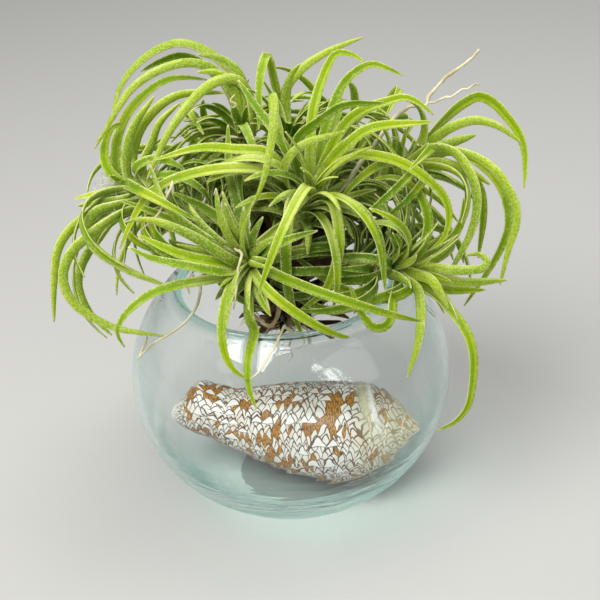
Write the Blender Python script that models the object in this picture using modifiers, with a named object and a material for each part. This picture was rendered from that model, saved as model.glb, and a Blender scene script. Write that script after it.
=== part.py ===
"""Curly leaf sky plant, a clump of air plant rosettes, in a clear bubble bowl with a cone shell.

Metres, +Z up, +X to the right and -Y to the front. The origin is the middle of the bowl's flat foot.
"""
import math
import random

import bmesh
import bpy
import numpy as np
from mathutils import Matrix, Vector

MM = 0.001
GAP = 0.3 * MM

# Bowl
BOWL_RADIUS = 57 * MM
BOWL_HALF_HEIGHT = 51.4 * MM
RIM_RADIUS = 39 * MM
FOOT_RADIUS = 23 * MM
FOOT_ROUND = 1.6 * MM
WALL = 2.4 * MM
FLOOR = 3.2 * MM
FLOOR_SOFTNESS = 3.0 * MM
RIM_BEAD = 1.6 * MM
BOWL_STEPS = 34
BOWL_CENTRE_Z = BOWL_HALF_HEIGHT * math.sqrt(1 - (FOOT_RADIUS / BOWL_RADIUS) ** 2)
RIM_Z = BOWL_CENTRE_Z + BOWL_HALF_HEIGHT * math.sqrt(1 - (RIM_RADIUS / BOWL_RADIUS) ** 2)
INNER_RADIUS = BOWL_RADIUS - WALL
INNER_HALF_HEIGHT = BOWL_HALF_HEIGHT - WALL

# Cone shell: its outline as (distance from the narrow end, radius, drop of the middle line) in mm
SHELL_LENGTH = 94 * MM
SHELL_OUTLINE = (
    (0, 2.2, 0), (1.5, 3.6, -0.2), (4, 5.6, -1), (8, 8.7, -2.4), (11, 10.7, -3.2), (16, 10.7, -2.3),
    (24, 11.2, 0.3), (33, 13.7, 1.1), (42, 16.1, 1.8), (53, 18, 2.6), (63, 19.2, 3), (70, 18.6, 2.8),
    (75, 17.3, 2.2), (80, 14.6, 1.6), (85, 10.6, 1), (90, 5, 0.4), (94, 0.8, 0))
SHELL_SHOULDER = 74 * MM
SHELL_SUTURE = 71 * MM
SUTURE_RUN = 30 * MM
SUTURE_DEPTH = 2.2 * MM
SUTURE_WIDTH = 2.4 * MM
SLIT_SHARE = 0.14
SHELL_SIDES = 26
SHELL_STATIONS = (
    0, 1.5, 4, 8, 13, 19, 26, 34, 43, 53, 62, 68, 71, 73, 75, 77, 79, 81, 83.5, 86, 88.5, 91, 94)
SHELL_TIP = Vector((-46, 9, 26)) * MM
SHELL_APEX = Vector((46.5, -14, 26)) * MM
SHELL_SLIT_TURN = math.radians(62)

# The plant, seen from the front and above: routes are (across, up, near) in mm from SIGHT_POINT
SIGHT_POINT = Vector((4.9, 0, 75.2)) * MM
SIGHT_TILT = math.radians(30)
SIGHT_ROLL = math.radians(4)
SIGHT_DISTANCE = 490 * MM

# Leaves
LEAF_WIDTH = 3.7 * MM
LEAF_THICK = 0.75 * MM
LEAF_CLEAR = 2.1 * MM
BEND_PER_STATION = math.radians(39)
FACE_TURN = 0.42
DOME_CENTRE = np.array((0, 8, 84)) * MM
DOME_SIZE = np.array((80, 74, 74)) * MM
SEED = 7

# Stems
JUNCTION = Vector((2, 4, 88)) * MM
STEM_RADIUS = 3.1 * MM
CROWN_RADIUS = 2.3 * MM
STUB_SHARE = 0.42
BUD = 7 * MM
ROOT_OFFSET = 1.4 * MM

# Woody middle, from its foot in the bowl's mouth to the junction
STOCK_FOOT = Vector((-1, -3, 66)) * MM
STOCK_RADII = (2.5 * MM, 6.5 * MM, 8 * MM, 7.5 * MM, 4 * MM)


def unit(v):
    return v / max(np.linalg.norm(v), 1e-12)


def seen(across, up, near):
    """The place of a point seen from the front: the lines of sight meet at SIGHT_DISTANCE."""
    shrink = 1 - near * MM / SIGHT_DISTANCE
    a = across * MM * shrink
    u = up * MM * shrink
    right = a * math.cos(SIGHT_ROLL) + u * math.sin(SIGHT_ROLL)
    rise = u * math.cos(SIGHT_ROLL) - a * math.sin(SIGHT_ROLL)
    y = rise * math.sin(SIGHT_TILT) - near * MM * math.cos(SIGHT_TILT)
    z = rise * math.cos(SIGHT_TILT) + near * MM * math.sin(SIGHT_TILT)
    return np.array((right, y, z)) + np.array(SIGHT_POINT)


# Crowns of the rosettes and the leaf routes that leave them, as (across, up, near) in mm.
# rest: the direction in degrees of a leaf that lies over the bowl's rim, and how far it hangs in mm.
ROSETTES = {
    "rosette_front": dict(
        crown=(4, 38, 26), fill=6, routes=[
            [(-2.5, 35, 32), (-4.5, 24.5, 36), (-5, 14, 36), (-3.5, 0, 31), (1, -13.3, 25)],
            [(10.5, 35, 34), (13.3, 26, 38), (13.3, 16, 38), (8.8, 3.5, 34), (0, -3.5, 29)],
            [(-10.5, 45, 30), (-31, 45.5, 34), (-51, 38.5, 33), (-61, 23, 30), (-63, 18, 29)],
            [(-10.5, 50.8, 28), (-21, 52.5, 30), (-35, 53.2, 31), (-50.8, 49, 30)],
            [(-5, 44, 28), (-22.8, 44.8, 27), (-32.6, 41.3, 25)],
            [(0, 43, 25), (-7, 56, 24), (-14.7, 66.5, 22), (-21.7, 77, 19)],
            [(-1, 47, 27), (-7.7, 60, 28), (-10.5, 73, 31), (-9, 65, 38), (-12.3, 44, 41),
             (-16.8, 32.6, 39)],
            [(3.5, 56, 24), (5.3, 70, 22), (11, 84.5, 19), (16, 86.8, 19), (22.8, 83, 20)],
            [(8.8, 59.5, 24), (14, 73.5, 23), (19.3, 79.8, 23), (26.3, 82.6, 24), (36, 78.4, 25)],
            [(12.3, 56, 28), (19.3, 64.8, 29), (29.8, 69.3, 30), (38.5, 70.7, 30), (46.6, 64.8, 30)],
            [(11, 49, 30), (16.5, 54.5, 32), (26, 60.5, 34), (46.6, 62.3, 35)],
            [(-1.8, 54.3, 32), (7, 63, 35), (15.8, 68.3, 35), (29.8, 69, 35)],
            [(-6, 44, 32), (0, 54, 37), (15.8, 59.2, 39)],
            [(14, 49, 28), (22.8, 50.8, 30), (35, 48.3, 31), (45.5, 41.3, 30), (51.8, 33.3, 28),
             (50.8, 22.8, 27), (45.5, 17.5, 26)],
            [(12, 35, 31), (19.3, 32.6, 35), (24.5, 27.3, 36), (28, 19.3, 36), (29.8, 3.5, 34)],
        ]),
    "rosette_top": dict(
        crown=(-4, 55, 0), fill=9, routes=[
            [(-7, 66.5, 3), (-9.8, 79, 6), (-11.5, 86, 10), (-14, 77, 15), (-14.4, 59.5, 18)],
            [(-6, 70, 2), (0, 80.5, 3), (10.5, 87.5, 4), (22, 92, 5)],
            [(-5, 69, 4), (-3.5, 78, 8), (0, 82.6, 10)],
        ]),
    "rosette_back_left": dict(
        crown=(-21, 60, 3), fill=6, routes=[
            [(-21, 76, 4), (-33, 87.5, 5), (-45, 90, 6), (-58, 82, 8), (-64, 72, 9), (-65.5, 63, 10)],
            [(-26.3, 77, 6), (-38.5, 83.3, 9), (-49, 80.5, 11), (-59.5, 73.5, 13), (-72, 53, 14)],
            [(-25, 74, 1), (-33.3, 82, 0), (-42, 85.4, 0), (-50.8, 82.6, 1), (-55.7, 80, 2)],
            [(-20, 76, 10), (-26.3, 84, 12), (-36, 86, 14)],
            [(-17, 70, 8), (-22.8, 77.5, 13), (-33.3, 74.2, 18), (-45.5, 59.5, 22), (-53.6, 42, 23)],
            [(-23, 74, 11), (-29, 79.5, 15), (-36, 79.8, 16)],
        ]),
    "rosette_left": dict(
        crown=(-57, 38.5, 8), fill=6, routes=[
            [(-61.3, 40.3, 10), (-67.2, 45.5, 12), (-68.6, 52.5, 12), (-66.5, 59.5, 11), (-62.3, 62, 10)],
            [(-62, 43, 6), (-64.4, 52, 5), (-61, 64, 4), (-52.5, 73.5, 2), (-43.8, 77.7, 1),
             (-32.6, 77, 1)],
            [(-60, 43, 11), (-60.5, 52.5, 15), (-57.8, 61.3, 17), (-51, 71.4, 17)],
            [(-57.5, 47.3, 10), (-56.7, 57.8, 11), (-50, 67, 10), (-41, 72, 9), (-26.3, 72.5, 8)],
            [(-55, 45, 11), (-52, 54, 14), (-49, 62, 15), (-42, 69, 14)],
            [(-58, 45, 14), (-52.5, 49, 20), (-45.5, 48.3, 24), (-40.3, 45.5, 26)],
            [(-63, 37.5, 8), (-71, 37, 8), (-79, 35.3, 8)],
            [(-62, 35, 13), (-70, 34, 16), (-77.7, 33, 18)],
            [(-63, 33, 12), (-75, 29, 18), (-84, 19.3, 20), (-86, 5.3, 20), (-86, -7.7, 18)],
            [(-60, 31, 17), (-70, 25.2, 27), (-81, 15, 29), (-81.5, 2, 28), (-67, -8.8, 25),
             (-47.3, -12.6, 26)],
            [(-62, 31, 9), (-73.5, 17.5, 8), (-77.5, 6, 7), (-73, -5, 6), (-65.8, -12.3, 7)],
            [(-63, 33, 18), (-73, 29.5, 24), (-73, 20, 26), (-61, 11, 28), (-45.5, 4.6, 27)],
        ]),
    "rosette_front_left": dict(
        crown=(-17, 13.3, 28), fill=3, rest=(-106, 17), routes=[
            [(-22, 15, 32), (-35, 22.8, 37), (-47.3, 33.3, 39), (-52.5, 47.3, 38)],
            [(-22.8, 13.3, 36), (-38.5, 22.8, 43), (-52.5, 28, 44), (-61.3, 27.3, 43)],
            [(-24, 15, 30), (-45.5, 28, 27), (-63, 35, 25)],
            [(-21, 19.3, 26), (-29.8, 29.8, 24), (-44.8, 37.8, 23)],
            [(-24.5, 12.3, 34), (-38.5, 15, 40), (-47.3, 18.2, 42), (-57, 22.8, 42)],
            [(-24.5, 9.5, 37), (-42, 12.3, 46), (-52.5, 14.7, 48), (-60.2, 18.6, 48)],
            [(-24.5, 8.2, 34), (-42, 5.3, 40), (-54, 1, 41), (-63.7, -9, 39), (-61.3, -16.5, 36)],
            [(-22, 8, 36), (-26, -1, 43), (-27.3, -13, 46), (-24.5, -22.8, 45), (-18.6, -27.7, 44)],
            [(-15.8, 17.5, 30), (-10.5, 22.8, 28), (-4.5, 28, 25)],
            [(-14, 15, 33), (-9.5, 19, 32)],
            [(-19, 22, 26), (-21.5, 32, 23), (-24.5, 44, 20), (-25.2, 61.3, 17)],
        ]),
    "rosette_right": dict(
        crown=(37, 10.5, 20), fill=3, rest=(-2, 20), routes=[
            [(39, 6, 25), (36, 2.5, 28), (29.8, 0.7, 29), (17.5, 2.8, 29), (7, 8.8, 28), (-3.5, 16.8, 26)],
            [(36, 5, 26), (24, -0.5, 31), (10, -3.5, 27), (0, 0.7, 22), (-10.5, 7, 20)],
            [(33, 5, 25), (32.2, -1.8, 32), (31, -8, 34), (26, -9.5, 35), (21, -3.5, 35), (17.5, 5.3, 34)],
            [(42, 4, 23), (50.8, -1.8, 26), (58.5, -12, 27), (60.6, -24, 26), (57.5, -39.5, 25),
             (48, -45.5, 26)],
            [(40, 5, 26), (42, -3.5, 30), (41.3, -14, 32), (37.5, -27, 32)],
            [(41, 8.8, 27), (46.5, 6.3, 32), (51.8, -2.8, 33)],
            [(44, 11.5, 24), (57, 10.5, 27), (66, 12, 27), (63, 16, 25), (57.8, 15.5, 24)],
            [(44, 8.8, 23), (56, 6.3, 22), (72.5, 7, 18)],
            [(44, 5.5, 14), (52, 3.5, 9), (64.8, 3.5, 5)],
            [(41, 13, 18), (49, 17.5, 14), (56, 26.3, 12), (57.4, 36, 12)],
            [(38, 16, 17), (35, 26.3, 16), (28, 33.3, 15), (20, 37.5, 15)],
            [(40.5, 15, 21), (44.8, 26.3, 23), (41.3, 37.3, 24), (33.3, 42.7, 24), (25.5, 42, 23)],
        ]),
    "rosette_back_right": dict(
        crown=(44, 52.5, 0), fill=6, routes=[
            [(48, 61, -2), (57.8, 69.3, -3), (66, 70.5, -3), (77, 57.8, -3), (78.8, 47.3, -2),
             (78.4, 39.2, -1)],
            [(47, 56.3, 4), (52.5, 60.2, 8), (61.3, 63, 10), (70, 60.6, 11), (77.4, 55, 11)],
            [(50, 54, 5), (61.6, 57.8, 8)],
            [(52, 52, 7), (64.8, 48, 14), (71.8, 40.3, 17), (76, 29.8, 18), (72.8, 17.5, 17),
             (70, 5.3, 16)],
            [(53, 51.5, 1), (68, 42.5, 5), (72.8, 28, 7), (68.5, 15, 7), (57.4, -2, 5)],
            [(48, 53, 7), (56, 49.8, 14), (61.6, 38, 17), (60, 24.5, 17), (50.8, 7, 15)],
            [(48, 48, 5), (59.5, 44.8, 7), (66.5, 40.3, 7)],
            [(50, 48, -2), (61, 42, -1), (64, 31.5, 0), (62.3, 14.7, 0)],
        ]),
    "rosette_rear_left": dict(crown=(-27, 47, -24), fill=18, rest=(128, 18), routes=[]),
    "rosette_rear_right": dict(crown=(17, 48, -29), fill=18, rest=(62, 18), routes=[]),
}


# Dry roots and the dry flower stalk, as routes in mm with radii at their two ends
ROOTS = {
    "dry_root_left": dict(
        height=80, side=200, radii=(0.75, 0.4),
        route=[(-22, 6, 12), (-34, 9, 22), (-35, 2, 27), (-37.5, -4.5, 28), (-43, -10, 31), (-51, -15, 27),
               (-57, -21, 20)]),
    "dry_root_loop": dict(
        height=77, side=236, radii=(0.8, 0.4),
        route=[(-12.5, 5, 20), (-8.5, 1.5, 22), (-7.6, -5, 23), (-10.5, -9.3, 23), (-18, -4.5, 22)]),
}
STALK_SEAT = (35, 65.8, 5)
STALK_ROUTE = [(35, 65.8, 5), (45, 67.6, 6), (46, 72, 6), (52, 79, 6), (59, 83, 6), (63, 88, 6)]
STALK_BRANCH = [(45.3, 69, 6), (52.5, 71, 9), (57.8, 73.5, 10), (63, 75, 10)]
STALK_RADII = (0.9, 0.5)


def wall_measure(points, lift=0.0):
    """Below 1 inside the glass bowl's outer form, grown by lift."""
    p = np.atleast_2d(points)
    r2 = p[:, 0] ** 2 + p[:, 1] ** 2
    dz = p[:, 2] - BOWL_CENTRE_Z
    return r2 / (BOWL_RADIUS + lift) ** 2 + dz ** 2 / (BOWL_HALF_HEIGHT + lift) ** 2


def glass_distance(points):
    """Distance to the glass, near enough for clearance: the wall as an ellipsoid skin cut at the rim."""
    p = np.atleast_2d(points)
    r = np.hypot(p[:, 0], p[:, 1])
    dz = p[:, 2] - BOWL_CENTRE_Z
    rim = np.hypot(r - RIM_RADIUS + RIM_BEAD, p[:, 2] - RIM_Z + RIM_BEAD) - RIM_BEAD
    scale = np.sqrt((r / BOWL_RADIUS) ** 2 + (dz / BOWL_HALF_HEIGHT) ** 2)
    slope = np.sqrt((r / BOWL_RADIUS ** 2) ** 2 + (dz / BOWL_HALF_HEIGHT ** 2) ** 2)
    slope = slope / np.maximum(scale, 1e-9)
    outer = (scale - 1) / np.maximum(slope, 1e-9)
    skin = np.where(outer > 0, outer, np.maximum(-outer - WALL, 0))
    return np.where(p[:, 2] > RIM_Z - RIM_BEAD, rim, np.minimum(skin, rim))


def smooth_path(points, count):
    """Evenly spaced points on a smooth curve through the given ones."""
    p = np.array(points)
    p = np.vstack([2 * p[0] - p[1], p, 2 * p[-1] - p[-2]])
    fine = []
    for i in range(1, len(p) - 2):
        for t in np.linspace(0, 1, 16, endpoint=False):
            a = 2 * p[i]
            b = (p[i + 1] - p[i - 1]) * t
            c = (2 * p[i - 1] - 5 * p[i] + 4 * p[i + 1] - p[i + 2]) * t * t
            d = (3 * p[i] - p[i - 1] - 3 * p[i + 1] + p[i + 2]) * t ** 3
            fine.append((a + b + c + d) / 2)
    fine.append(p[-2])
    fine = np.array(fine)
    steps = np.concatenate([[0], np.cumsum(np.linalg.norm(np.diff(fine, axis=0), axis=1))])
    want = np.linspace(0, steps[-1], count)
    return np.stack([np.interp(want, steps, fine[:, k]) for k in range(3)], 1)


def frames(path, inward):
    """Tangent, width and face directions along a path, carried along without twist."""
    tangents = np.gradient(path, axis=0)
    tangents = np.array([unit(t) for t in tangents])
    width = unit(np.cross(tangents[0], inward))
    widths = []
    for t in tangents:
        width = unit(width - t * np.dot(width, t))
        widths.append(width)
    widths = np.array(widths)
    return tangents, widths, np.cross(widths, tangents)


def turned_widths(path, inward, turn):
    """Width directions of a blade whose face turns partly to the front as it leaves the stem."""
    tangents, widths, faces_up = frames(path, inward)
    if turn == 0:
        return widths, faces_up
    front = np.array((0, -math.cos(SIGHT_TILT), math.sin(SIGHT_TILT)))
    sign = 1.0 if np.mean(faces_up @ front) > 0 else -1.0
    turned = []
    for k, t in enumerate(np.linspace(0, 1, len(path))):
        share = turn * min(1, t * 3) ** 2
        face = faces_up[k] * (1 - share) + sign * front * share
        face = unit(face - tangents[k] * np.dot(face, tangents[k]))
        turned.append(face)
    turned = np.array(turned)
    return np.cross(tangents, turned), turned


def leaf_width(t):
    """Half width of a leaf at share t of its length: broad at the sheath, long taper, fine tip."""
    blade = 1 - 0.2 * t - 0.66 * t ** 3.4
    sheath = 0.45 * math.exp(-((t / 0.14) ** 2))
    root = 0.55 + 0.45 * min(1, t / 0.07)
    return LEAF_WIDTH / 2 * (blade + sheath) * root


def leaf_thick(t):
    return LEAF_THICK * (1.25 - 0.45 * t)


def growth_route(start, axis, spin, lean, curl, length):
    """A leaf that leaves the stem at an angle and curls over, as a short list of points."""
    side = unit(np.cross(axis, (0.3, 0.2, 1.0)))
    other = np.cross(axis, side)
    out = side * math.cos(spin) + other * math.sin(spin)
    pieces = 7
    point = np.array(start)
    route = [point]
    for k in range(pieces):
        angle = lean + curl * ((k + 0.5) / pieces) ** 1.25
        point = point + (axis * math.cos(angle) + out * math.sin(angle)) * length / pieces
        point = point + np.array((0, 0, -0.012)) * length * k / pieces
        route.append(point)
    return route


class Rosette:
    """The stem of one rosette and the leaf routes on it."""

    def __init__(self, name, spec):
        self.name = name
        self.crown = seen(*spec["crown"])
        start = np.array(JUNCTION)
        self.axis = unit(self.crown - start)
        length = np.linalg.norm(self.crown - start)
        self.seat = start + self.axis * length * STUB_SHARE
        self.stem = self.crown - (self.seat + self.axis * GAP)
        self.base = self.seat + self.axis * GAP
        self.leaves = []

    def add(self, path, turn):
        self.leaves.append((path, turn))
        return leaf_samples(path, self.axis, turn)

    def root(self, start, towards):
        """Where a leaf's end is sunk, off the stem's middle on the leaf's own side."""
        out = towards - start
        return start + unit(out - self.axis * np.dot(out, self.axis)) * ROOT_OFFSET

    def stem_point(self, share):
        return self.base + self.stem * share

    def samples(self):
        """Points that stand for the stem when clearances are judged."""
        shares = np.linspace(0, 1.1, 12)
        ring = []
        for s in shares:
            ring.append(self.stem_point(s))
        return np.array(ring)


def stations(path):
    """The few points of a path that its bends need."""
    tangents = np.diff(path, axis=0)
    tangents = tangents / np.linalg.norm(tangents, axis=1)[:, None]
    cosines = np.clip(np.sum(tangents[1:] * tangents[:-1], axis=1), -1, 1)
    bend = np.sum(np.arccos(cosines))
    count = int(min(11, max(6, 5 + round(bend / BEND_PER_STATION))))
    return path[np.linspace(0, len(path) - 1, count).round().astype(int)]


def rest_path(rosette, azimuth, hang):
    """A leaf that lies over the bowl's rim with GAP below its keel, and hangs down outside."""
    out = np.array((math.cos(azimuth), math.sin(azimuth), 0))
    up = np.array((0, 0, 1.0))
    along = np.cross(up, out)
    start = rosette.stem_point(0.55)
    lift = 1.0 * MM
    path = None
    for _ in range(12):
        route = [
            start,
            (start + out * 30 * MM + up * (RIM_Z + 8 * MM - up @ start) * 0.5) * 0.5
            + (out * 30 * MM + up * (RIM_Z + 7 * MM)) * 0.5,
            out * (RIM_RADIUS - RIM_BEAD) + up * (RIM_Z + lift),
            out * (46 * MM + lift * 0.5) + up * (RIM_Z - 4.5 * MM + lift),
            out * (51 * MM + lift) + along * MM + up * (RIM_Z - 0.62 * hang),
            out * (54 * MM + lift) + along * 4 * MM + up * (RIM_Z - hang),
        ]
        path = smooth_path(route, 34)
        few = stations(path)
        _, widths, faces_up = frames(few, rosette.axis)
        keel = []
        for k in range(len(few) - 1):
            for s in np.linspace(0, 1, 8, endpoint=False):
                middle = few[k] * (1 - s) + few[k + 1] * s
                width = widths[k] * (1 - s) + widths[k + 1] * s
                up_face = faces_up[k] * (1 - s) + faces_up[k + 1] * s
                t = (k + s) / (len(few) - 1)
                keel.append(middle - up_face * leaf_thick(t) * 0.6)
                for side in (-1, 1):
                    edge = middle + up_face * leaf_thick(t) * 0.4
                    keel.append(edge + width * side * leaf_width(t))
        room = glass_distance(keel).min()
        if abs(room - GAP * 1.2) < 0.02 * MM:
            break
        lift += GAP * 1.2 - room
    return path


def leaf_samples(path, inward, turn=0):
    """Points over a leaf's face, along its curve and along its straight facets, for clearances."""
    few = stations(path)
    split = np.linspace(0, len(few) - 1, len(few) * 4)
    straight = np.stack([np.interp(split, range(len(few)), few[:, k]) for k in range(3)], 1)
    found = []
    for line in (path, straight):
        widths, _ = turned_widths(line, inward, turn)
        half = np.array([leaf_width(t) for t in np.linspace(0, 1, len(line))])[:, None]
        found += [line - widths * half, line, line + widths * half]
    return np.vstack(found)


def nearest(points, others):
    if len(others) == 0:
        return 1.0
    d = points[:, None, :] - others[None, :, :]
    return math.sqrt(np.min(np.einsum("ijk,ijk->ij", d, d)))


def clearance(samples, name, placed, stems):
    """Smallest distance from a leaf to the other rosettes, their stems and the glass."""
    best = 1.0
    for other, points in placed:
        if other != name:
            low = points.min(axis=0) - 4 * MM
            high = points.max(axis=0) + 4 * MM
            close = samples[np.all((samples > low) & (samples < high), axis=1)]
            if len(close):
                best = min(best, nearest(close, points))
    for other, points in stems:
        if other != name:
            best = min(best, nearest(samples, points) - STEM_RADIUS + LEAF_CLEAR * 0.5)
    glass = glass_distance(samples).min() + LEAF_CLEAR - 0.9 * MM
    return min(best, glass)


def root_paths():
    """Centre lines of the dry roots, from their seats on the woody middle, and of the flower stalk."""
    paths = {}
    foot = np.array(STOCK_FOOT)
    top = np.array(JUNCTION) + np.array((0, 0, 6)) * MM
    for name, spec in ROOTS.items():
        share = (spec["height"] * MM - foot[2]) / (top[2] - foot[2])
        middle = foot + (top - foot) * share
        radius = np.interp(share, (0, 0.2, 0.55, 0.85, 1), STOCK_RADII)
        out = np.array((math.cos(math.radians(spec["side"])), math.sin(math.radians(spec["side"])), 0))
        seat = middle + out * (radius * 0.97 + GAP)
        lead = seat + out * 2.5 * MM
        paths[name] = (smooth_path([seat, lead] + [seen(*p) for p in spec["route"]], 15), spec["radii"])
    seat = stalk_seat()
    paths["dry_stalk"] = (smooth_path([seat] + [seen(*p) for p in STALK_ROUTE], 14), STALK_RADII)
    paths["dry_stalk_branch"] = (smooth_path([seen(*p) for p in STALK_BRANCH], 6), (0.55, 0.4))
    return paths


def stalk_seat():
    start = np.array(JUNCTION)
    return start + (seen(*STALK_SEAT) - start) * STUB_SHARE


def in_dome(points):
    """Whether all points lie in the rounded outline of the clump."""
    return np.all(np.sum(((points - DOME_CENTRE) / DOME_SIZE) ** 2, axis=1) < 1)


def grow():
    """All rosettes with their leaves: the routes first, then leaves by rule where there is room."""
    rosettes = [Rosette(name, spec) for name, spec in ROSETTES.items()]
    stems = [(r.name, r.samples()) for r in rosettes]
    stock = np.array([np.array(JUNCTION) + np.array((0, 0, z)) * MM for z in range(-20, 6, 2)])
    placed = []
    for name, (path, _) in root_paths().items():
        placed.append((name, path))
    leans = [0, 3, -3, 6, -6, 9, -9, 12, -12]
    for rosette in rosettes:
        rest = ROSETTES[rosette.name].get("rest")
        if rest is not None:
            path = rest_path(rosette, math.radians(rest[0]), rest[1] * MM)
            placed.append((rosette.name, rosette.add(path, 0)))
    for rosette in rosettes:
        routes = ROSETTES[rosette.name]["routes"]
        for index, route in enumerate(routes):
            share = 0.62 + 0.38 * ((index * 0.618 + 0.6) % 1.0)
            start = rosette.stem_point(share)
            best = None
            for lean in leans:
                bent = []
                for k, (across, up, near) in enumerate(route):
                    bent.append(seen(across, up, near + lean * ((k + 1) / len(route)) ** 1.3))
                path = smooth_path([rosette.root(start, bent[0])] + bent, 34)
                samples = leaf_samples(path, rosette.axis, FACE_TURN)
                room = clearance(samples, rosette.name, placed, stems)
                if best is None or room > best[0]:
                    best = (room, path)
                if room > LEAF_CLEAR:
                    break
            placed.append((rosette.name, rosette.add(best[1], FACE_TURN)))
    draw = random.Random(SEED)
    for rosette in rosettes:
        wanted = ROSETTES[rosette.name]["fill"]
        got = 0
        for attempt in range(wanted * 24):
            if got == wanted:
                break
            spin = attempt * 2.39996 + draw.uniform(-0.3, 0.3)
            lean = draw.uniform(0.35, 1.2)
            curl = draw.uniform(1.5, 3.3)
            length = draw.uniform(46, 74) * MM
            share = draw.uniform(0.45, 0.98)
            start = rosette.stem_point(share)
            route = growth_route(start, rosette.axis, spin, lean, curl, length)
            path = smooth_path([rosette.root(start, route[1])] + route[1:], 34)
            samples = leaf_samples(path, rosette.axis)
            if samples[:, 2].min() < 60 * MM or not in_dome(samples):
                continue
            if nearest(samples[len(samples) // 8:], stock) < 11 * MM:
                continue
            if np.any(wall_measure(samples, 2 * MM) < 1) and samples[:, 2].min() < RIM_Z - 12 * MM:
                continue
            if clearance(samples, rosette.name, placed, stems) > LEAF_CLEAR:
                placed.append((rosette.name, rosette.add(path, 0)))
                got += 1
    return rosettes


def material(name, colour, roughness, metallic=0.0, transmission=0.0):
    made = bpy.data.materials.new(name)
    made.use_nodes = True
    made.diffuse_color = (*colour, 1)
    shader = made.node_tree.nodes["Principled BSDF"]
    shader.inputs["Base Color"].default_value = (*colour, 1)
    shader.inputs["Roughness"].default_value = roughness
    shader.inputs["Metallic"].default_value = metallic
    shader.inputs["Transmission Weight"].default_value = transmission
    return made


def add_object(name, mesh, collection, look=None):
    made = bpy.data.objects.new(name, mesh)
    collection.objects.link(made)
    if look:
        mesh.materials.append(look)
    return made


def mesh_from(name, vertices, faces):
    mesh = bpy.data.meshes.new(name)
    mesh.from_pydata([tuple(v) for v in vertices], [], faces)
    mesh.update()
    return mesh


def inner_height(z):
    """The inner surface's height: the wall's ellipsoid, eased into the flat floor."""
    above = z - FLOOR
    return FLOOR + (above + math.hypot(above, FLOOR_SOFTNESS)) / 2


def bowl_profile(low_steps=8, high_steps=3, bead_steps=4, outer_steps=10):
    """Half section of the glass, from the middle of the inner floor, over the rim, to the foot."""
    points = [(0, inner_height(BOWL_CENTRE_Z - INNER_HALF_HEIGHT))]
    for k in range(1, low_steps + 1):
        angle = (k / low_steps - 1) * math.pi / 2
        z = BOWL_CENTRE_Z + INNER_HALF_HEIGHT * math.sin(angle)
        points.append((INNER_RADIUS * math.cos(angle), inner_height(z)))
    inner_rim = math.asin((RIM_Z - RIM_BEAD - BOWL_CENTRE_Z) / INNER_HALF_HEIGHT)
    for k in range(1, high_steps):
        angle = inner_rim * k / high_steps
        z = BOWL_CENTRE_Z + INNER_HALF_HEIGHT * math.sin(angle)
        points.append((INNER_RADIUS * math.cos(angle), inner_height(z)))
    for k in range(bead_steps + 1):
        angle = math.pi * (1 - k / bead_steps)
        bead_x = RIM_RADIUS - RIM_BEAD + RIM_BEAD * math.cos(angle)
        points.append((bead_x, RIM_Z - RIM_BEAD + RIM_BEAD * math.sin(angle)))
    outer_rim = math.asin((RIM_Z - RIM_BEAD - BOWL_CENTRE_Z) / BOWL_HALF_HEIGHT)
    foot = -math.asin((BOWL_CENTRE_Z - FOOT_ROUND) / BOWL_HALF_HEIGHT)
    for k in range(1, outer_steps + 1):
        angle = outer_rim + (foot - outer_rim) * k / outer_steps
        points.append((BOWL_RADIUS * math.cos(angle), BOWL_CENTRE_Z + BOWL_HALF_HEIGHT * math.sin(angle)))
    points.append((FOOT_RADIUS + 0.4 * MM, 0.35 * MM))
    points.append((FOOT_RADIUS - 0.6 * MM, 0))
    points.append((0, 0))
    return points


def make_bowl(collection):
    points = bowl_profile()
    mesh = mesh_from("glass_bowl", [(x, 0, z) for x, z in points], [])
    mesh.edges.add(len(points) - 1)
    for k, edge in enumerate(mesh.edges):
        edge.vertices = (k, k + 1)
    look = material("clear_glass", (0.72, 0.86, 0.84), 0.03, 0, 1.0)
    bowl = add_object("glass_bowl", mesh, collection, look)
    turn = bowl.modifiers.new("turn", "SCREW")
    turn.axis = "Z"
    turn.steps = BOWL_STEPS
    turn.render_steps = BOWL_STEPS
    turn.use_merge_vertices = True
    turn.merge_threshold = 0.00001
    return bowl


def shell_surface(x, turn):
    """Across and down of the shell's surface at distance x and at a share of a turn from the slit."""
    stations = [row[0] * MM for row in SHELL_OUTLINE]
    radius = np.interp(x, stations, [row[1] * MM for row in SHELL_OUTLINE])
    drop = np.interp(x, stations, [row[2] * MM for row in SHELL_OUTLINE])
    slit = max(0, 1 - min(turn, 1 - turn) / 0.05)
    ends = min(1, x / (8 * MM)) * max(0, min(1, (SHELL_SUTURE - x) / (5 * MM)))
    radius *= 1 - SLIT_SHARE * slit * ends
    suture = x - SHELL_SUTURE - SUTURE_RUN * turn
    if turn < 0.3:
        depth = SUTURE_DEPTH * (1 - turn / 0.3) ** 0.7
        radius -= depth * math.exp(-(suture / SUTURE_WIDTH) ** 2)
    if x > SHELL_SHOULDER:
        t = (x - SHELL_SHOULDER) / (SHELL_LENGTH - SHELL_SHOULDER)
        step = (4 * t + turn) % 1.0
        radius *= 1 + 0.09 * (0.5 - step) * min(1, t * 5) * min(1, (1 - t) * 4)
    angle = turn * 2 * math.pi
    return radius * math.cos(angle) - drop, radius * math.sin(angle)


def shell_points(stations=SHELL_STATIONS, sides=SHELL_SIDES):
    """Points of the shell's surface, ring by ring from its narrow end along +X."""
    points = []
    for station in stations:
        for k in range(sides):
            points.append(Vector((station * MM, *shell_surface(station * MM, k / sides))))
    return points


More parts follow.
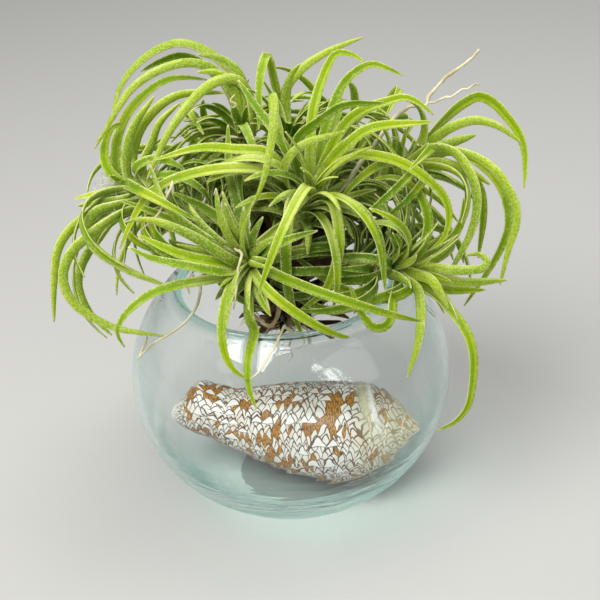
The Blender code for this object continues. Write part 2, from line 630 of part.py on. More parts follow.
def inner_room(point):
    """Distance of a point inside the bowl to its inner surface, near enough for resting on it."""
    r = math.hypot(point.x, point.y)
    dz = point.z - BOWL_CENTRE_Z
    scale = math.sqrt((r / INNER_RADIUS) ** 2 + (dz / INNER_HALF_HEIGHT) ** 2)
    slope = math.sqrt((r / INNER_RADIUS ** 2) ** 2 + (dz / INNER_HALF_HEIGHT ** 2) ** 2)
    wall = (1 - scale) * max(scale, 1e-9) / slope
    floor = point.z - FLOOR
    return (wall + floor - math.hypot(wall - floor, FLOOR_SOFTNESS)) / 2


def shell_matrix(tip, apex):
    """Turns the shell's own +X to the line from its narrow end to its apex, with the slit at the front."""
    axis = (apex - tip).normalized()
    side = Vector((0, 0, 1)).cross(axis).normalized()
    top = axis.cross(side)
    c = math.cos(SHELL_SLIT_TURN)
    s = math.sin(SHELL_SLIT_TURN)
    first = side * c + top * s
    second = top * c - side * s
    rows = [(axis[k], first[k], second[k], tip[k]) for k in range(3)]
    return Matrix([*rows, (0, 0, 0, 1)])


def settle(points):
    """The two ends of the shell once it lies in the bowl: its spire goes down first, then the rest."""
    tip = SHELL_TIP.copy()
    apex = SHELL_APEX.copy()
    spire = [p for p in points if p.x > SHELL_LENGTH / 2]
    narrow = [p for p in points if p.x < SHELL_LENGTH / 3]
    for _ in range(4):
        for half, move_tip, move_apex in ((spire, 0, 1), (narrow, 1, 0)):
            low = -12 * MM
            high = 12 * MM
            for _ in range(14):
                drop = Vector((0, 0, -(low + high) / 2))
                place = shell_matrix(tip + drop * move_tip, apex + drop * move_apex)
                if min(inner_room(place @ p) for p in half) > GAP * 1.2:
                    low = -drop.z
                else:
                    high = -drop.z
            tip.z -= low * move_tip
            apex.z -= low * move_apex
    return tip, apex


def make_shell(collection):
    points = shell_points()
    place = shell_matrix(*settle(points))
    n = SHELL_SIDES
    faces = []
    for i in range(len(SHELL_STATIONS) - 1):
        for j in range(n):
            k = (j + 1) % n
            faces.append((i * n + j, i * n + k, (i + 1) * n + k, (i + 1) * n + j))
    faces.append(tuple(reversed(range(n))))
    last = (len(SHELL_STATIONS) - 1) * n
    faces.append(tuple(last + j for j in range(n)))
    mesh = mesh_from("cone_shell", [place @ p for p in points], faces)
    bm = bmesh.new()
    bm.from_mesh(mesh)
    bmesh.ops.recalc_face_normals(bm, faces=bm.faces)
    bmesh.ops.triangulate(bm, faces=bm.faces)
    bm.to_mesh(mesh)
    bm.free()
    return add_object("cone_shell", mesh, collection, material("shell", (0.78, 0.66, 0.5), 0.35))


def tube(name, points, radii, collection):
    """A tube with flat ends through the points, as a closed mesh."""
    curve = bpy.data.curves.new(name, "CURVE")
    curve.dimensions = "3D"
    curve.bevel_depth = 1.0
    curve.bevel_resolution = 2 if max(radii) > 2 * MM else 1
    curve.use_fill_caps = True
    spline = curve.splines.new("POLY")
    spline.points.add(len(points) - 1)
    for point, co, radius in zip(spline.points, points, radii):
        point.co = (*co, 1)
        point.radius = radius
    source = bpy.data.objects.new(name + "_curve", curve)
    collection.objects.link(source)
    graph = bpy.context.evaluated_depsgraph_get()
    mesh = bpy.data.meshes.new_from_object(source.evaluated_get(graph))
    mesh.name = name
    bpy.data.objects.remove(source)
    bm = bmesh.new()
    bm.from_mesh(mesh)
    bmesh.ops.remove_doubles(bm, verts=bm.verts, dist=1e-6)
    bmesh.ops.recalc_face_normals(bm, faces=bm.faces)
    bm.to_mesh(mesh)
    bm.free()
    mesh.materials.clear()
    return add_object(name, mesh, collection)


def leaf_mesh(name, path, inward, turn):
    """A tapering blade with a flat upper face and a keel below, closed at both ends."""
    widths, faces_up = turned_widths(path, inward, turn)
    vertices = []
    count = len(path)
    for k in range(count):
        t = k / (count - 1)
        half = max(leaf_width(t), 0.35 * MM)
        thick = leaf_thick(t)
        vertices.append(path[k] - widths[k] * half + faces_up[k] * thick * 0.4)
        vertices.append(path[k] + widths[k] * half + faces_up[k] * thick * 0.4)
        vertices.append(path[k] - faces_up[k] * thick * 0.6)
    polygons = []
    for k in range(count - 1):
        a = 3 * k
        b = a + 3
        for i in range(3):
            j = (i + 1) % 3
            polygons.append((a + i, a + j, b + j))
            polygons.append((a + i, b + j, b + i))
    polygons.append((2, 1, 0))
    end = 3 * (count - 1)
    polygons.append((end, end + 1, end + 2))
    mesh = mesh_from(name, vertices, polygons)
    bm = bmesh.new()
    bm.from_mesh(mesh)
    bmesh.ops.recalc_face_normals(bm, faces=bm.faces)
    bm.to_mesh(mesh)
    bm.free()
    return mesh


def join_all(base, collection, solver="MANIFOLD"):
    """Fuses the objects of a collection into the base and removes them."""
    fuse = base.modifiers.new("fuse", "BOOLEAN")
    fuse.operation = "UNION"
    fuse.operand_type = "COLLECTION"
    fuse.collection = collection
    fuse.solver = solver
    graph = bpy.context.evaluated_depsgraph_get()
    mesh = bpy.data.meshes.new_from_object(base.evaluated_get(graph))
    base.modifiers.clear()
    old = base.data
    base.data = mesh
    mesh.name = base.name
    bpy.data.meshes.remove(old)
    for item in list(collection.objects):
        bpy.data.objects.remove(item)
    bm = bmesh.new()
    bm.from_mesh(mesh)
    bmesh.ops.triangulate(bm, faces=bm.faces)
    keep_largest(bm)
    bm.to_mesh(mesh)
    bm.free()


def islands(bm):
    """The groups of joined faces."""
    seen_faces = set()
    groups = []
    for first in bm.faces:
        if first.index in seen_faces:
            continue
        seen_faces.add(first.index)
        group = [first]
        for face in group:
            for edge in face.edges:
                for linked in edge.link_faces:
                    if linked.index not in seen_faces:
                        seen_faces.add(linked.index)
                        group.append(linked)
        groups.append(group)
    return groups


def keep_largest(bm):
    """Fills the pockets that crossing leaf bases close off, by removing their faces."""
    bm.faces.ensure_lookup_table()
    bm.faces.index_update()
    groups = sorted(islands(bm), key=len, reverse=True)
    for group in groups[1:]:
        bmesh.ops.delete(bm, geom=group, context="FACES")
    loose = [v for v in bm.verts if not v.link_faces]
    bmesh.ops.delete(bm, geom=loose, context="VERTS")


def make_rosette(rosette, collection, cutters, look):
    """Stem with its pointed bud, and the leaves sunk into it."""
    shares = [0, 0.35, 0.7, 1.0]
    points = [rosette.stem_point(s) for s in shares]
    points += [rosette.crown + rosette.axis * BUD * 0.5, rosette.crown + rosette.axis * BUD]
    radii = [STEM_RADIUS, STEM_RADIUS, STEM_RADIUS * 0.9, CROWN_RADIUS, CROWN_RADIUS * 0.7, 0.4 * MM]
    stem = tube(rosette.name, points, radii, collection)
    for k, (path, turn) in enumerate(rosette.leaves):
        blade = leaf_mesh("leaf", stations(path), rosette.axis, turn)
        add_object(f"{rosette.name}_leaf_{k}", blade, cutters)
    join_all(stem, cutters)
    stem.data.materials.clear()
    stem.data.materials.append(look)
    return stem


def make_rootstock(rosettes, collection, cutters):
    """The woody middle of the clump, with a stub for every stem."""
    base = STOCK_FOOT
    top = JUNCTION + Vector((0, 0, 6)) * MM
    points = [base, base.lerp(top, 0.2), base.lerp(top, 0.55), base.lerp(top, 0.85), top]
    stock = tube("rootstock", points, STOCK_RADII, collection)
    for k, rosette in enumerate(rosettes):
        start = np.array(JUNCTION)
        ends = [start, start + (rosette.seat - start) * 0.5, rosette.seat]
        made = tube(f"stub_{k}", ends, [STEM_RADIUS * 1.1, STEM_RADIUS * 1.05, STEM_RADIUS], collection)
        collection.objects.unlink(made)
        cutters.objects.link(made)
    seat = stalk_seat()
    start = np.array(JUNCTION)
    made = tube("stub_stalk", [start, seat - unit(seat - start) * GAP], [1.6 * MM, 1.2 * MM], collection)
    collection.objects.unlink(made)
    cutters.objects.link(made)
    join_all(stock, cutters)
    stock.data.materials.clear()
    stock.data.materials.append(material("dry_wood", (0.16, 0.09, 0.05), 0.8))
    return stock


def make_roots(collection, cutters):
    """The dry roots that hang at the rim, and the dry flower stalk with its side branch."""
    paths = root_paths()
    look = material("dry_root", (0.62, 0.52, 0.36), 0.8)
    for name, (path, radii) in paths.items():
        steps = np.linspace(radii[0], radii[1], len(path)) * MM
        made = tube(name, path, steps, collection)
        made.data.materials.append(look)
        if name == "dry_stalk_branch":
            collection.objects.unlink(made)
            cutters.objects.link(made)
            stalk = bpy.data.objects["dry_stalk"]
            join_all(stalk, cutters)
            stalk.data.materials.clear()
            stalk.data.materials.append(look)


def clear_scene():
    for item in list(bpy.data.objects):
        bpy.data.objects.remove(item)


def main():
    clear_scene()
    parts = bpy.data.collections.new("curly_leaf_sky_plant")
    cutters = bpy.data.collections.new("cutters")
    bpy.context.scene.collection.children.link(parts)
    bpy.context.scene.collection.children.link(cutters)
    make_bowl(parts)
    make_shell(parts)
    rosettes = grow()
    make_rootstock(rosettes, parts, cutters)
    make_roots(parts, cutters)
    look = material("leaf_green", (0.35, 0.5, 0.07), 0.55)
    for rosette in rosettes:
        make_rosette(rosette, parts, cutters, look)
    bpy.data.collections.remove(cutters)


main()
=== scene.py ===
"""The looks of the curly leaf sky plant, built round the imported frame.

Metres, +Z up, +X to the right and -Y to the front, the origin in the middle of the bowl's flat foot.
"""
import math
import random

import bpy
import numpy as np
from mathutils import Matrix, Vector, kdtree, noise


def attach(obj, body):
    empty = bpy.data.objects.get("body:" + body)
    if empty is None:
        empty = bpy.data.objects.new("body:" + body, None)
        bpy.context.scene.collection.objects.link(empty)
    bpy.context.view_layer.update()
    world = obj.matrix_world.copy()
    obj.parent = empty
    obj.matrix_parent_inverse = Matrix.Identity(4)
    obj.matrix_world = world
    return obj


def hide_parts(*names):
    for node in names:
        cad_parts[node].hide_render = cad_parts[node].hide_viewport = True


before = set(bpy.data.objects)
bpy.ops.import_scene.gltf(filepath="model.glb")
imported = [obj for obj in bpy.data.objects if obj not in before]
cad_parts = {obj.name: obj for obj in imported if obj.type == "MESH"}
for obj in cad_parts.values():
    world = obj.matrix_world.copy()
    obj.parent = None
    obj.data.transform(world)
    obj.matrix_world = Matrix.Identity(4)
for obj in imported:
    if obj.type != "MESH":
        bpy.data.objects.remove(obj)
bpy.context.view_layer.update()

MM = 0.001
GAP = 0.3 * MM

# Bowl
BOWL_RADIUS = 57 * MM
BOWL_HALF_HEIGHT = 51.4 * MM
RIM_RADIUS = 39 * MM
FOOT_RADIUS = 23 * MM
FOOT_ROUND = 1.6 * MM
WALL = 2.4 * MM
FLOOR = 3.2 * MM
FLOOR_SOFTNESS = 3.0 * MM
RIM_BEAD = 1.6 * MM
BOWL_CENTRE_Z = BOWL_HALF_HEIGHT * math.sqrt(1 - (FOOT_RADIUS / BOWL_RADIUS) ** 2)
RIM_Z = BOWL_CENTRE_Z + BOWL_HALF_HEIGHT * math.sqrt(1 - (RIM_RADIUS / BOWL_RADIUS) ** 2)
INNER_RADIUS = BOWL_RADIUS - WALL
INNER_HALF_HEIGHT = BOWL_HALF_HEIGHT - WALL

# Cone shell: its outline as (distance from the narrow end, radius, drop of the middle line) in mm
SHELL_LENGTH = 94 * MM
SHELL_OUTLINE = (
    (0, 2.2, 0), (1.5, 3.6, -0.2), (4, 5.6, -1), (8, 8.7, -2.4), (11, 10.7, -3.2), (16, 10.7, -2.3),
    (24, 11.2, 0.3), (33, 13.7, 1.1), (42, 16.1, 1.8), (53, 18, 2.6), (63, 19.2, 3), (70, 18.6, 2.8),
    (75, 17.3, 2.2), (80, 14.6, 1.6), (85, 10.6, 1), (90, 5, 0.4), (94, 0.8, 0))
SHELL_SHOULDER = 74 * MM
SHELL_SUTURE = 71 * MM
SUTURE_RUN = 30 * MM
SUTURE_DEPTH = 2.2 * MM
SUTURE_WIDTH = 2.4 * MM
SUTURE_TURN = 0.3
SLIT_SHARE = 0.14
SHELL_SIDES = 26
SHELL_STATIONS = (
    0, 1.5, 4, 8, 13, 19, 26, 34, 43, 53, 62, 68, 71, 73, 75, 77, 79, 81, 83.5, 86, 88.5, 91, 94)
SHELL_TIP = Vector((-46, 9, 26)) * MM
SHELL_APEX = Vector((46.5, -14, 26)) * MM
SHELL_SLIT_TURN = math.radians(62)

# The shell's pattern: how steeply its lines run, and a distance that no line reaches
LINE_SLANT = 0.55
FAR = 9.0

# The plant, seen from the front and above: routes are (across, up, near) in mm from SIGHT_POINT
SIGHT_POINT = Vector((4.9, 0, 75.2)) * MM
SIGHT_TILT = math.radians(30)
SIGHT_ROLL = math.radians(4)
SIGHT_DISTANCE = 490 * MM
SENSOR = 36.0
LENS = 84.0

# Leaves
LEAF_WIDTH = 3.7 * MM
LEAF_THICK = 0.75 * MM
LEAF_CLEAR = 2.1 * MM
PATH_POINTS = 34
BEND_PER_STATION = math.radians(39)
FACE_TURN = 0.42
DOME_CENTRE = np.array((0, 8, 84)) * MM
DOME_SIZE = np.array((80, 74, 74)) * MM
SEED = 7
GOLDEN_TURN = 2.39996
NEARER = (0, 3, -3, 6, -6, 9, -9, 12, -12)
LOWEST_LEAF = 60 * MM
STOCK_ROOM = 11 * MM
BOWL_ROOM = 2 * MM
BELOW_RIM = 12 * MM
LEAF_TRIES = 24

# Finer leaves
FINE_STATIONS = 30
FINE_WIDTH = 1.04
FINE_TURN = 1.5
CHANNEL = 0.3
BLADE_THICK = 0.55 * MM
TIP_HALF = 0.12 * MM
SIDE_SHARES = (-1, -0.55, 0, 0.55, 1)
EDGE_SHARE = 0.2
UNDER_SHARE = 0.97
INNER_ROOM = 1.5 * MM
OWN_ROOM = 0.9 * MM
GLASS_ROOM = 0.8 * MM
LOWEST_INNER = 74 * MM
INNER_TRIES = 18
FRONT_ROSETTES = ("rosette_front", "rosette_front_left")

# Sheath, inner and heart leaves: where on the stem, their angles in radians and lengths in mm, the share
# from which they keep clear of their own rosette, and how far out in the clump's dome they may reach
# The sheath and inner leaves draw their tone from low ranges, so that they are darker as painted shade
# inside the clump.
MORE_LEAVES = (
    dict(count=20, front_count=20, shares=(-0.1, 0.9), lean=(0.1, 0.5), curl=(0.6, 2.2), length=(20, 38),
         own_part=0.6, widest=0.9, tone=(0, 0.7), width=0.95, stations=18),
    dict(count=38, front_count=14, shares=(-0.3, 0.8), lean=(0.4, 1.2), curl=(2.6, 4.4), length=(34, 58),
         own_part=0.5, widest=0.8, tone=(0, 0.4), width=0.95, stations=24),
    dict(count=7, front_count=7, shares=(0.93, 1.0), lean=(0.1, 0.4), curl=(0.3, 1.3), length=(16, 30),
         own_part=0.9, widest=0.9, tone=(0.5, 1.0), width=0.6, stations=18))

# Stems
JUNCTION = Vector((2, 4, 88)) * MM
STEM_RADIUS = 3.1 * MM
CROWN_RADIUS = 2.3 * MM
STUB_SHARE = 0.42
BUD = 7 * MM
ROOT_OFFSET = 1.4 * MM

# Woody middle, from its foot in the bowl's mouth to a little above the junction
STOCK_FOOT = Vector((-1, -3, 66)) * MM
STOCK_TOP = np.array(JUNCTION) + np.array((0, 0, 6)) * MM
STOCK_SHARES = (0, 0.2, 0.55, 0.85, 1)
STOCK_RADII = (2.5 * MM, 6.5 * MM, 8 * MM, 7.5 * MM, 4 * MM)
DEAD_BASES = 90
FIBRES = 60
WOOD_ROOM = 1.2 * MM

# Studio: each light's place, size, power and colour
FLOOR_HALF = 9.0
SKY_STRENGTH = 0.34
LIGHT_AIM = Vector((0, 0, 0.08))
LIGHTS = {
    "key": ((-0.30, -0.30, 0.75), 0.50, 6.4, (1.0, 0.98, 0.94)),
    "top": ((0.20, 0.20, 0.85), 0.5, 3.2, (1.0, 1.0, 0.98)),
    "fill": ((0.6, -0.5, 0.5), 0.5, 0.8, (1.0, 1.0, 1.0))}

# Crowns of the rosettes and the leaf routes that leave them, as (across, up, near) in mm.
# rest: the direction in degrees of a leaf that lies over the bowl's rim, and how far it hangs in mm.
ROSETTES = {
    "rosette_front": dict(crown=(4, 38, 26), fill=6, routes=[
        [(-2.5, 35, 32), (-4.5, 24.5, 36), (-5, 14, 36), (-3.5, 0, 31), (1, -13.3, 25)],
        [(10.5, 35, 34), (13.3, 26, 38), (13.3, 16, 38), (8.8, 3.5, 34), (0, -3.5, 29)],
        [(-10.5, 45, 30), (-31, 45.5, 34), (-51, 38.5, 33), (-61, 23, 30), (-63, 18, 29)],
        [(-10.5, 50.8, 28), (-21, 52.5, 30), (-35, 53.2, 31), (-50.8, 49, 30)],
        [(-5, 44, 28), (-22.8, 44.8, 27), (-32.6, 41.3, 25)],
        [(0, 43, 25), (-7, 56, 24), (-14.7, 66.5, 22), (-21.7, 77, 19)],
        [(-1, 47, 27), (-7.7, 60, 28), (-10.5, 73, 31), (-9, 65, 38), (-12.3, 44, 41),
         (-16.8, 32.6, 39)],
        [(3.5, 56, 24), (5.3, 70, 22), (11, 84.5, 19), (16, 86.8, 19), (22.8, 83, 20)],
        [(8.8, 59.5, 24), (14, 73.5, 23), (19.3, 79.8, 23), (26.3, 82.6, 24), (36, 78.4, 25)],
        [(12.3, 56, 28), (19.3, 64.8, 29), (29.8, 69.3, 30), (38.5, 70.7, 30), (46.6, 64.8, 30)],
        [(11, 49, 30), (16.5, 54.5, 32), (26, 60.5, 34), (46.6, 62.3, 35)],
        [(-1.8, 54.3, 32), (7, 63, 35), (15.8, 68.3, 35), (29.8, 69, 35)],
        [(-6, 44, 32), (0, 54, 37), (15.8, 59.2, 39)],
        [(14, 49, 28), (22.8, 50.8, 30), (35, 48.3, 31), (45.5, 41.3, 30), (51.8, 33.3, 28),
         (50.8, 22.8, 27), (45.5, 17.5, 26)],
        [(12, 35, 31), (19.3, 32.6, 35), (24.5, 27.3, 36), (28, 19.3, 36), (29.8, 3.5, 34)],
    ]),
    "rosette_top": dict(crown=(-4, 55, 0), fill=9, routes=[
        [(-7, 66.5, 3), (-9.8, 79, 6), (-11.5, 86, 10), (-14, 77, 15), (-14.4, 59.5, 18)],
        [(-6, 70, 2), (0, 80.5, 3), (10.5, 87.5, 4), (22, 92, 5)],
        [(-5, 69, 4), (-3.5, 78, 8), (0, 82.6, 10)],
    ]),
    "rosette_back_left": dict(crown=(-21, 60, 3), fill=6, routes=[
        [(-21, 76, 4), (-33, 87.5, 5), (-45, 90, 6), (-58, 82, 8), (-64, 72, 9), (-65.5, 63, 10)],
        [(-26.3, 77, 6), (-38.5, 83.3, 9), (-49, 80.5, 11), (-59.5, 73.5, 13), (-72, 53, 14)],
        [(-25, 74, 1), (-33.3, 82, 0), (-42, 85.4, 0), (-50.8, 82.6, 1), (-55.7, 80, 2)],
        [(-20, 76, 10), (-26.3, 84, 12), (-36, 86, 14)],
        [(-17, 70, 8), (-22.8, 77.5, 13), (-33.3, 74.2, 18), (-45.5, 59.5, 22), (-53.6, 42, 23)],
        [(-23, 74, 11), (-29, 79.5, 15), (-36, 79.8, 16)],
    ]),
    "rosette_left": dict(crown=(-57, 38.5, 8), fill=6, routes=[
        [(-61.3, 40.3, 10), (-67.2, 45.5, 12), (-68.6, 52.5, 12), (-66.5, 59.5, 11), (-62.3, 62, 10)],
        [(-62, 43, 6), (-64.4, 52, 5), (-61, 64, 4), (-52.5, 73.5, 2), (-43.8, 77.7, 1),
         (-32.6, 77, 1)],
        [(-60, 43, 11), (-60.5, 52.5, 15), (-57.8, 61.3, 17), (-51, 71.4, 17)],
        [(-57.5, 47.3, 10), (-56.7, 57.8, 11), (-50, 67, 10), (-41, 72, 9), (-26.3, 72.5, 8)],
        [(-55, 45, 11), (-52, 54, 14), (-49, 62, 15), (-42, 69, 14)],
        [(-58, 45, 14), (-52.5, 49, 20), (-45.5, 48.3, 24), (-40.3, 45.5, 26)],
        [(-63, 37.5, 8), (-71, 37, 8), (-79, 35.3, 8)],
        [(-62, 35, 13), (-70, 34, 16), (-77.7, 33, 18)],
        [(-63, 33, 12), (-75, 29, 18), (-84, 19.3, 20), (-86, 5.3, 20), (-86, -7.7, 18)],
        [(-60, 31, 17), (-70, 25.2, 27), (-81, 15, 29), (-81.5, 2, 28), (-67, -8.8, 25),
         (-47.3, -12.6, 26)],
        [(-62, 31, 9), (-73.5, 17.5, 8), (-77.5, 6, 7), (-73, -5, 6), (-65.8, -12.3, 7)],
        [(-63, 33, 18), (-73, 29.5, 24), (-73, 20, 26), (-61, 11, 28), (-45.5, 4.6, 27)],
    ]),
    "rosette_front_left": dict(crown=(-17, 13.3, 28), fill=3, rest=(-106, 17), routes=[
        [(-22, 15, 32), (-35, 22.8, 37), (-47.3, 33.3, 39), (-52.5, 47.3, 38)],
        [(-22.8, 13.3, 36), (-38.5, 22.8, 43), (-52.5, 28, 44), (-61.3, 27.3, 43)],
        [(-24, 15, 30), (-45.5, 28, 27), (-63, 35, 25)],
        [(-21, 19.3, 26), (-29.8, 29.8, 24), (-44.8, 37.8, 23)],
        [(-24.5, 12.3, 34), (-38.5, 15, 40), (-47.3, 18.2, 42), (-57, 22.8, 42)],
        [(-24.5, 9.5, 37), (-42, 12.3, 46), (-52.5, 14.7, 48), (-60.2, 18.6, 48)],
        [(-24.5, 8.2, 34), (-42, 5.3, 40), (-54, 1, 41), (-63.7, -9, 39), (-61.3, -16.5, 36)],
        [(-22, 8, 36), (-26, -1, 43), (-27.3, -13, 46), (-24.5, -22.8, 45), (-18.6, -27.7, 44)],
        [(-15.8, 17.5, 30), (-10.5, 22.8, 28), (-4.5, 28, 25)],
        [(-14, 15, 33), (-9.5, 19, 32)],
        [(-19, 22, 26), (-21.5, 32, 23), (-24.5, 44, 20), (-25.2, 61.3, 17)],
    ]),
    "rosette_right": dict(crown=(37, 10.5, 20), fill=3, rest=(-2, 20), routes=[
        [(39, 6, 25), (36, 2.5, 28), (29.8, 0.7, 29), (17.5, 2.8, 29), (7, 8.8, 28), (-3.5, 16.8, 26)],
        [(36, 5, 26), (24, -0.5, 31), (10, -3.5, 27), (0, 0.7, 22), (-10.5, 7, 20)],
        [(33, 5, 25), (32.2, -1.8, 32), (31, -8, 34), (26, -9.5, 35), (21, -3.5, 35), (17.5, 5.3, 34)],
        [(42, 4, 23), (50.8, -1.8, 26), (58.5, -12, 27), (60.6, -24, 26), (57.5, -39.5, 25),
         (48, -45.5, 26)],
        [(40, 5, 26), (42, -3.5, 30), (41.3, -14, 32), (37.5, -27, 32)],
        [(41, 8.8, 27), (46.5, 6.3, 32), (51.8, -2.8, 33)],
        [(44, 11.5, 24), (57, 10.5, 27), (66, 12, 27), (63, 16, 25), (57.8, 15.5, 24)],
        [(44, 8.8, 23), (56, 6.3, 22), (72.5, 7, 18)],
        [(44, 5.5, 14), (52, 3.5, 9), (64.8, 3.5, 5)],
        [(41, 13, 18), (49, 17.5, 14), (56, 26.3, 12), (57.4, 36, 12)],
        [(38, 16, 17), (35, 26.3, 16), (28, 33.3, 15), (20, 37.5, 15)],
        [(40.5, 15, 21), (44.8, 26.3, 23), (41.3, 37.3, 24), (33.3, 42.7, 24), (25.5, 42, 23)],
    ]),
    "rosette_back_right": dict(crown=(44, 52.5, 0), fill=6, routes=[
        [(48, 61, -2), (57.8, 69.3, -3), (66, 70.5, -3), (77, 57.8, -3), (78.8, 47.3, -2),
         (78.4, 39.2, -1)],
        [(47, 56.3, 4), (52.5, 60.2, 8), (61.3, 63, 10), (70, 60.6, 11), (77.4, 55, 11)],
        [(50, 54, 5), (61.6, 57.8, 8)],
        [(52, 52, 7), (64.8, 48, 14), (71.8, 40.3, 17), (76, 29.8, 18), (72.8, 17.5, 17),
         (70, 5.3, 16)],
        [(53, 51.5, 1), (68, 42.5, 5), (72.8, 28, 7), (68.5, 15, 7), (57.4, -2, 5)],
        [(48, 53, 7), (56, 49.8, 14), (61.6, 38, 17), (60, 24.5, 17), (50.8, 7, 15)],
        [(48, 48, 5), (59.5, 44.8, 7), (66.5, 40.3, 7)],
        [(50, 48, -2), (61, 42, -1), (64, 31.5, 0), (62.3, 14.7, 0)],
    ]),
    "rosette_rear_left": dict(crown=(-27, 47, -24), fill=18, rest=(128, 18), routes=[]),
    "rosette_rear_right": dict(crown=(17, 48, -29), fill=18, rest=(62, 18), routes=[]),
}

# Dry roots and the dry flower stalk: routes like the leaves', with radii in mm at their two ends
ROOTS = {
    "dry_root_left": dict(
        height=80, side=200, radii=(0.75, 0.4),
        route=[(-22, 6, 12), (-34, 9, 22), (-35, 2, 27), (-37.5, -4.5, 28), (-43, -10, 31), (-51, -15, 27),
               (-57, -21, 20)]),
    "dry_root_loop": dict(
        height=77, side=236, radii=(0.8, 0.4),
        route=[(-12.5, 5, 20), (-8.5, 1.5, 22), (-7.6, -5, 23), (-10.5, -9.3, 23), (-18, -4.5, 22)]),
}
STALK_SEAT = (35, 65.8, 5)
STALK_ROUTE = [STALK_SEAT, (45, 67.6, 6), (46, 72, 6), (52, 79, 6), (59, 83, 6), (63, 88, 6)]
STALK_BRANCH = [(45.3, 69, 6), (52.5, 71, 9), (57.8, 73.5, 10), (63, 75, 10)]
STALK_RADII = (0.9, 0.5)

THIN_ROOTS = [
    [(-23.8, 19.3, 35), (-21, 17.5, 39), (-20.7, 13.3, 41), (-22, 7, 43), (-23.5, -3.5, 44)],
    [(-44.5, 42, 33), (-46, 37.5, 36), (-49, 31, 38), (-52, 28, 38), (-55.7, 24.5, 37)],
    [(-30.5, 55, 8), (-26.3, 56.7, 9), (-19.3, 57, 9), (-12.3, 54.3, 8), (-6, 51, 5)],
    [(-2.5, -11.2, 24), (-5.6, -9.1, 32), (-8.8, -16.5, 42), (-14, -24.5, 46), (-17.5, -27.7, 46)],
    [(-22.5, 62, 12), (-24, 65.5, 14), (-22.4, 68, 15), (-24.5, 69.5, 15), (-22.6, 71.5, 15)],
    [(-37.5, 8.8, 30), (-39, 7, 31), (-40, 5.3, 31), (-39, 2, 31)],
    [(-12.5, 8, 20), (-20, 8.4, 25), (-23, 6, 27), (-22, 2.5, 27)],
    [(-15.5, 57, 15), (-17, 52.5, 17), (-19, 47, 18)],
    [(-55.9, -19.8, 21.4), (-55.4, -17.6, 22), (-54.4, -15.2, 23), (-53.4, -12.8, 24)],
]
KINKED_ROOTS = (0, 3)
KINK_STEP = 6
WOOL_FIBRES = 300
WOOL_PLACES = ((-65.5, 38, 10), (-69.5, 31, 9))


# Where things are

def unit(v):
    return v / max(np.linalg.norm(v), 1e-12)


def cross_ways(axis):
    """Two directions square to an axis."""
    side = unit(np.cross(axis, (0.3, 0.2, 1.0)))
    return side, np.cross(axis, side)


def seen(across, up, near):
    """The place of a point seen from the front: the lines of sight meet at SIGHT_DISTANCE."""
    shrink = 1 - near * MM / SIGHT_DISTANCE
    a = across * MM * shrink
    u = up * MM * shrink
    right = a * math.cos(SIGHT_ROLL) + u * math.sin(SIGHT_ROLL)
    rise = u * math.cos(SIGHT_ROLL) - a * math.sin(SIGHT_ROLL)
    y = rise * math.sin(SIGHT_TILT) - near * MM * math.cos(SIGHT_TILT)
    z = rise * math.cos(SIGHT_TILT) + near * MM * math.sin(SIGHT_TILT)
    return np.array((right, y, z)) + np.array(SIGHT_POINT)


def in_bowl(points, lift):
    """Whether any point lies inside the glass bowl's outer form, grown by lift."""
    r2 = points[:, 0] ** 2 + points[:, 1] ** 2
    dz = points[:, 2] - BOWL_CENTRE_Z
    return np.any(r2 / (BOWL_RADIUS + lift) ** 2 + dz ** 2 / (BOWL_HALF_HEIGHT + lift) ** 2 < 1)


def skin_distance(r, dz, radius, half_height):
    """Distance out from an ellipsoid's skin, near enough for clearances."""
    scale = np.sqrt((r / radius) ** 2 + (dz / half_height) ** 2)
    slope = np.sqrt((r / radius ** 2) ** 2 + (dz / half_height ** 2) ** 2) / np.maximum(scale, 1e-9)
    return (scale - 1) / np.maximum(slope, 1e-9)


def glass_distance(points):
    """Distance to the glass, near enough for clearances: the wall as an ellipsoid skin cut at the rim."""
    p = np.array(points)
    r = np.hypot(p[:, 0], p[:, 1])
    rim = np.hypot(r - RIM_RADIUS + RIM_BEAD, p[:, 2] - RIM_Z + RIM_BEAD) - RIM_BEAD
    outer = skin_distance(r, p[:, 2] - BOWL_CENTRE_Z, BOWL_RADIUS, BOWL_HALF_HEIGHT)
    skin = np.where(outer > 0, outer, np.maximum(-outer - WALL, 0))
    return np.where(p[:, 2] > RIM_Z - RIM_BEAD, rim, np.minimum(skin, rim))


def smooth_path(points, count):
    """Evenly spaced points on a smooth curve through the given ones."""
    p = np.array(points)
    p = np.vstack([2 * p[0] - p[1], p, 2 * p[-1] - p[-2]])
    fine = []
    for i in range(1, len(p) - 2):
        for t in np.linspace(0, 1, 16, endpoint=False):
            a = 2 * p[i]
            b = (p[i + 1] - p[i - 1]) * t
            c = (2 * p[i - 1] - 5 * p[i] + 4 * p[i + 1] - p[i + 2]) * t * t
            d = (3 * p[i] - p[i - 1] - 3 * p[i + 1] + p[i + 2]) * t ** 3
            fine.append((a + b + c + d) / 2)
    fine.append(p[-2])
    fine = np.array(fine)
    steps = np.concatenate([[0], np.cumsum(np.linalg.norm(np.diff(fine, axis=0), axis=1))])
    want = np.linspace(0, steps[-1], count)
    return np.stack([np.interp(want, steps, fine[:, k]) for k in range(3)], 1)


def frames(path, inward):
    """Tangent, width and face directions along a path, carried along without twist."""
    tangents = np.gradient(path, axis=0)
    tangents = np.array([unit(t) for t in tangents])
    width = unit(np.cross(tangents[0], inward))
    widths = []
    for t in tangents:
        width = unit(width - t * np.dot(width, t))
        widths.append(width)
    widths = np.array(widths)
    return tangents, widths, np.cross(widths, tangents)


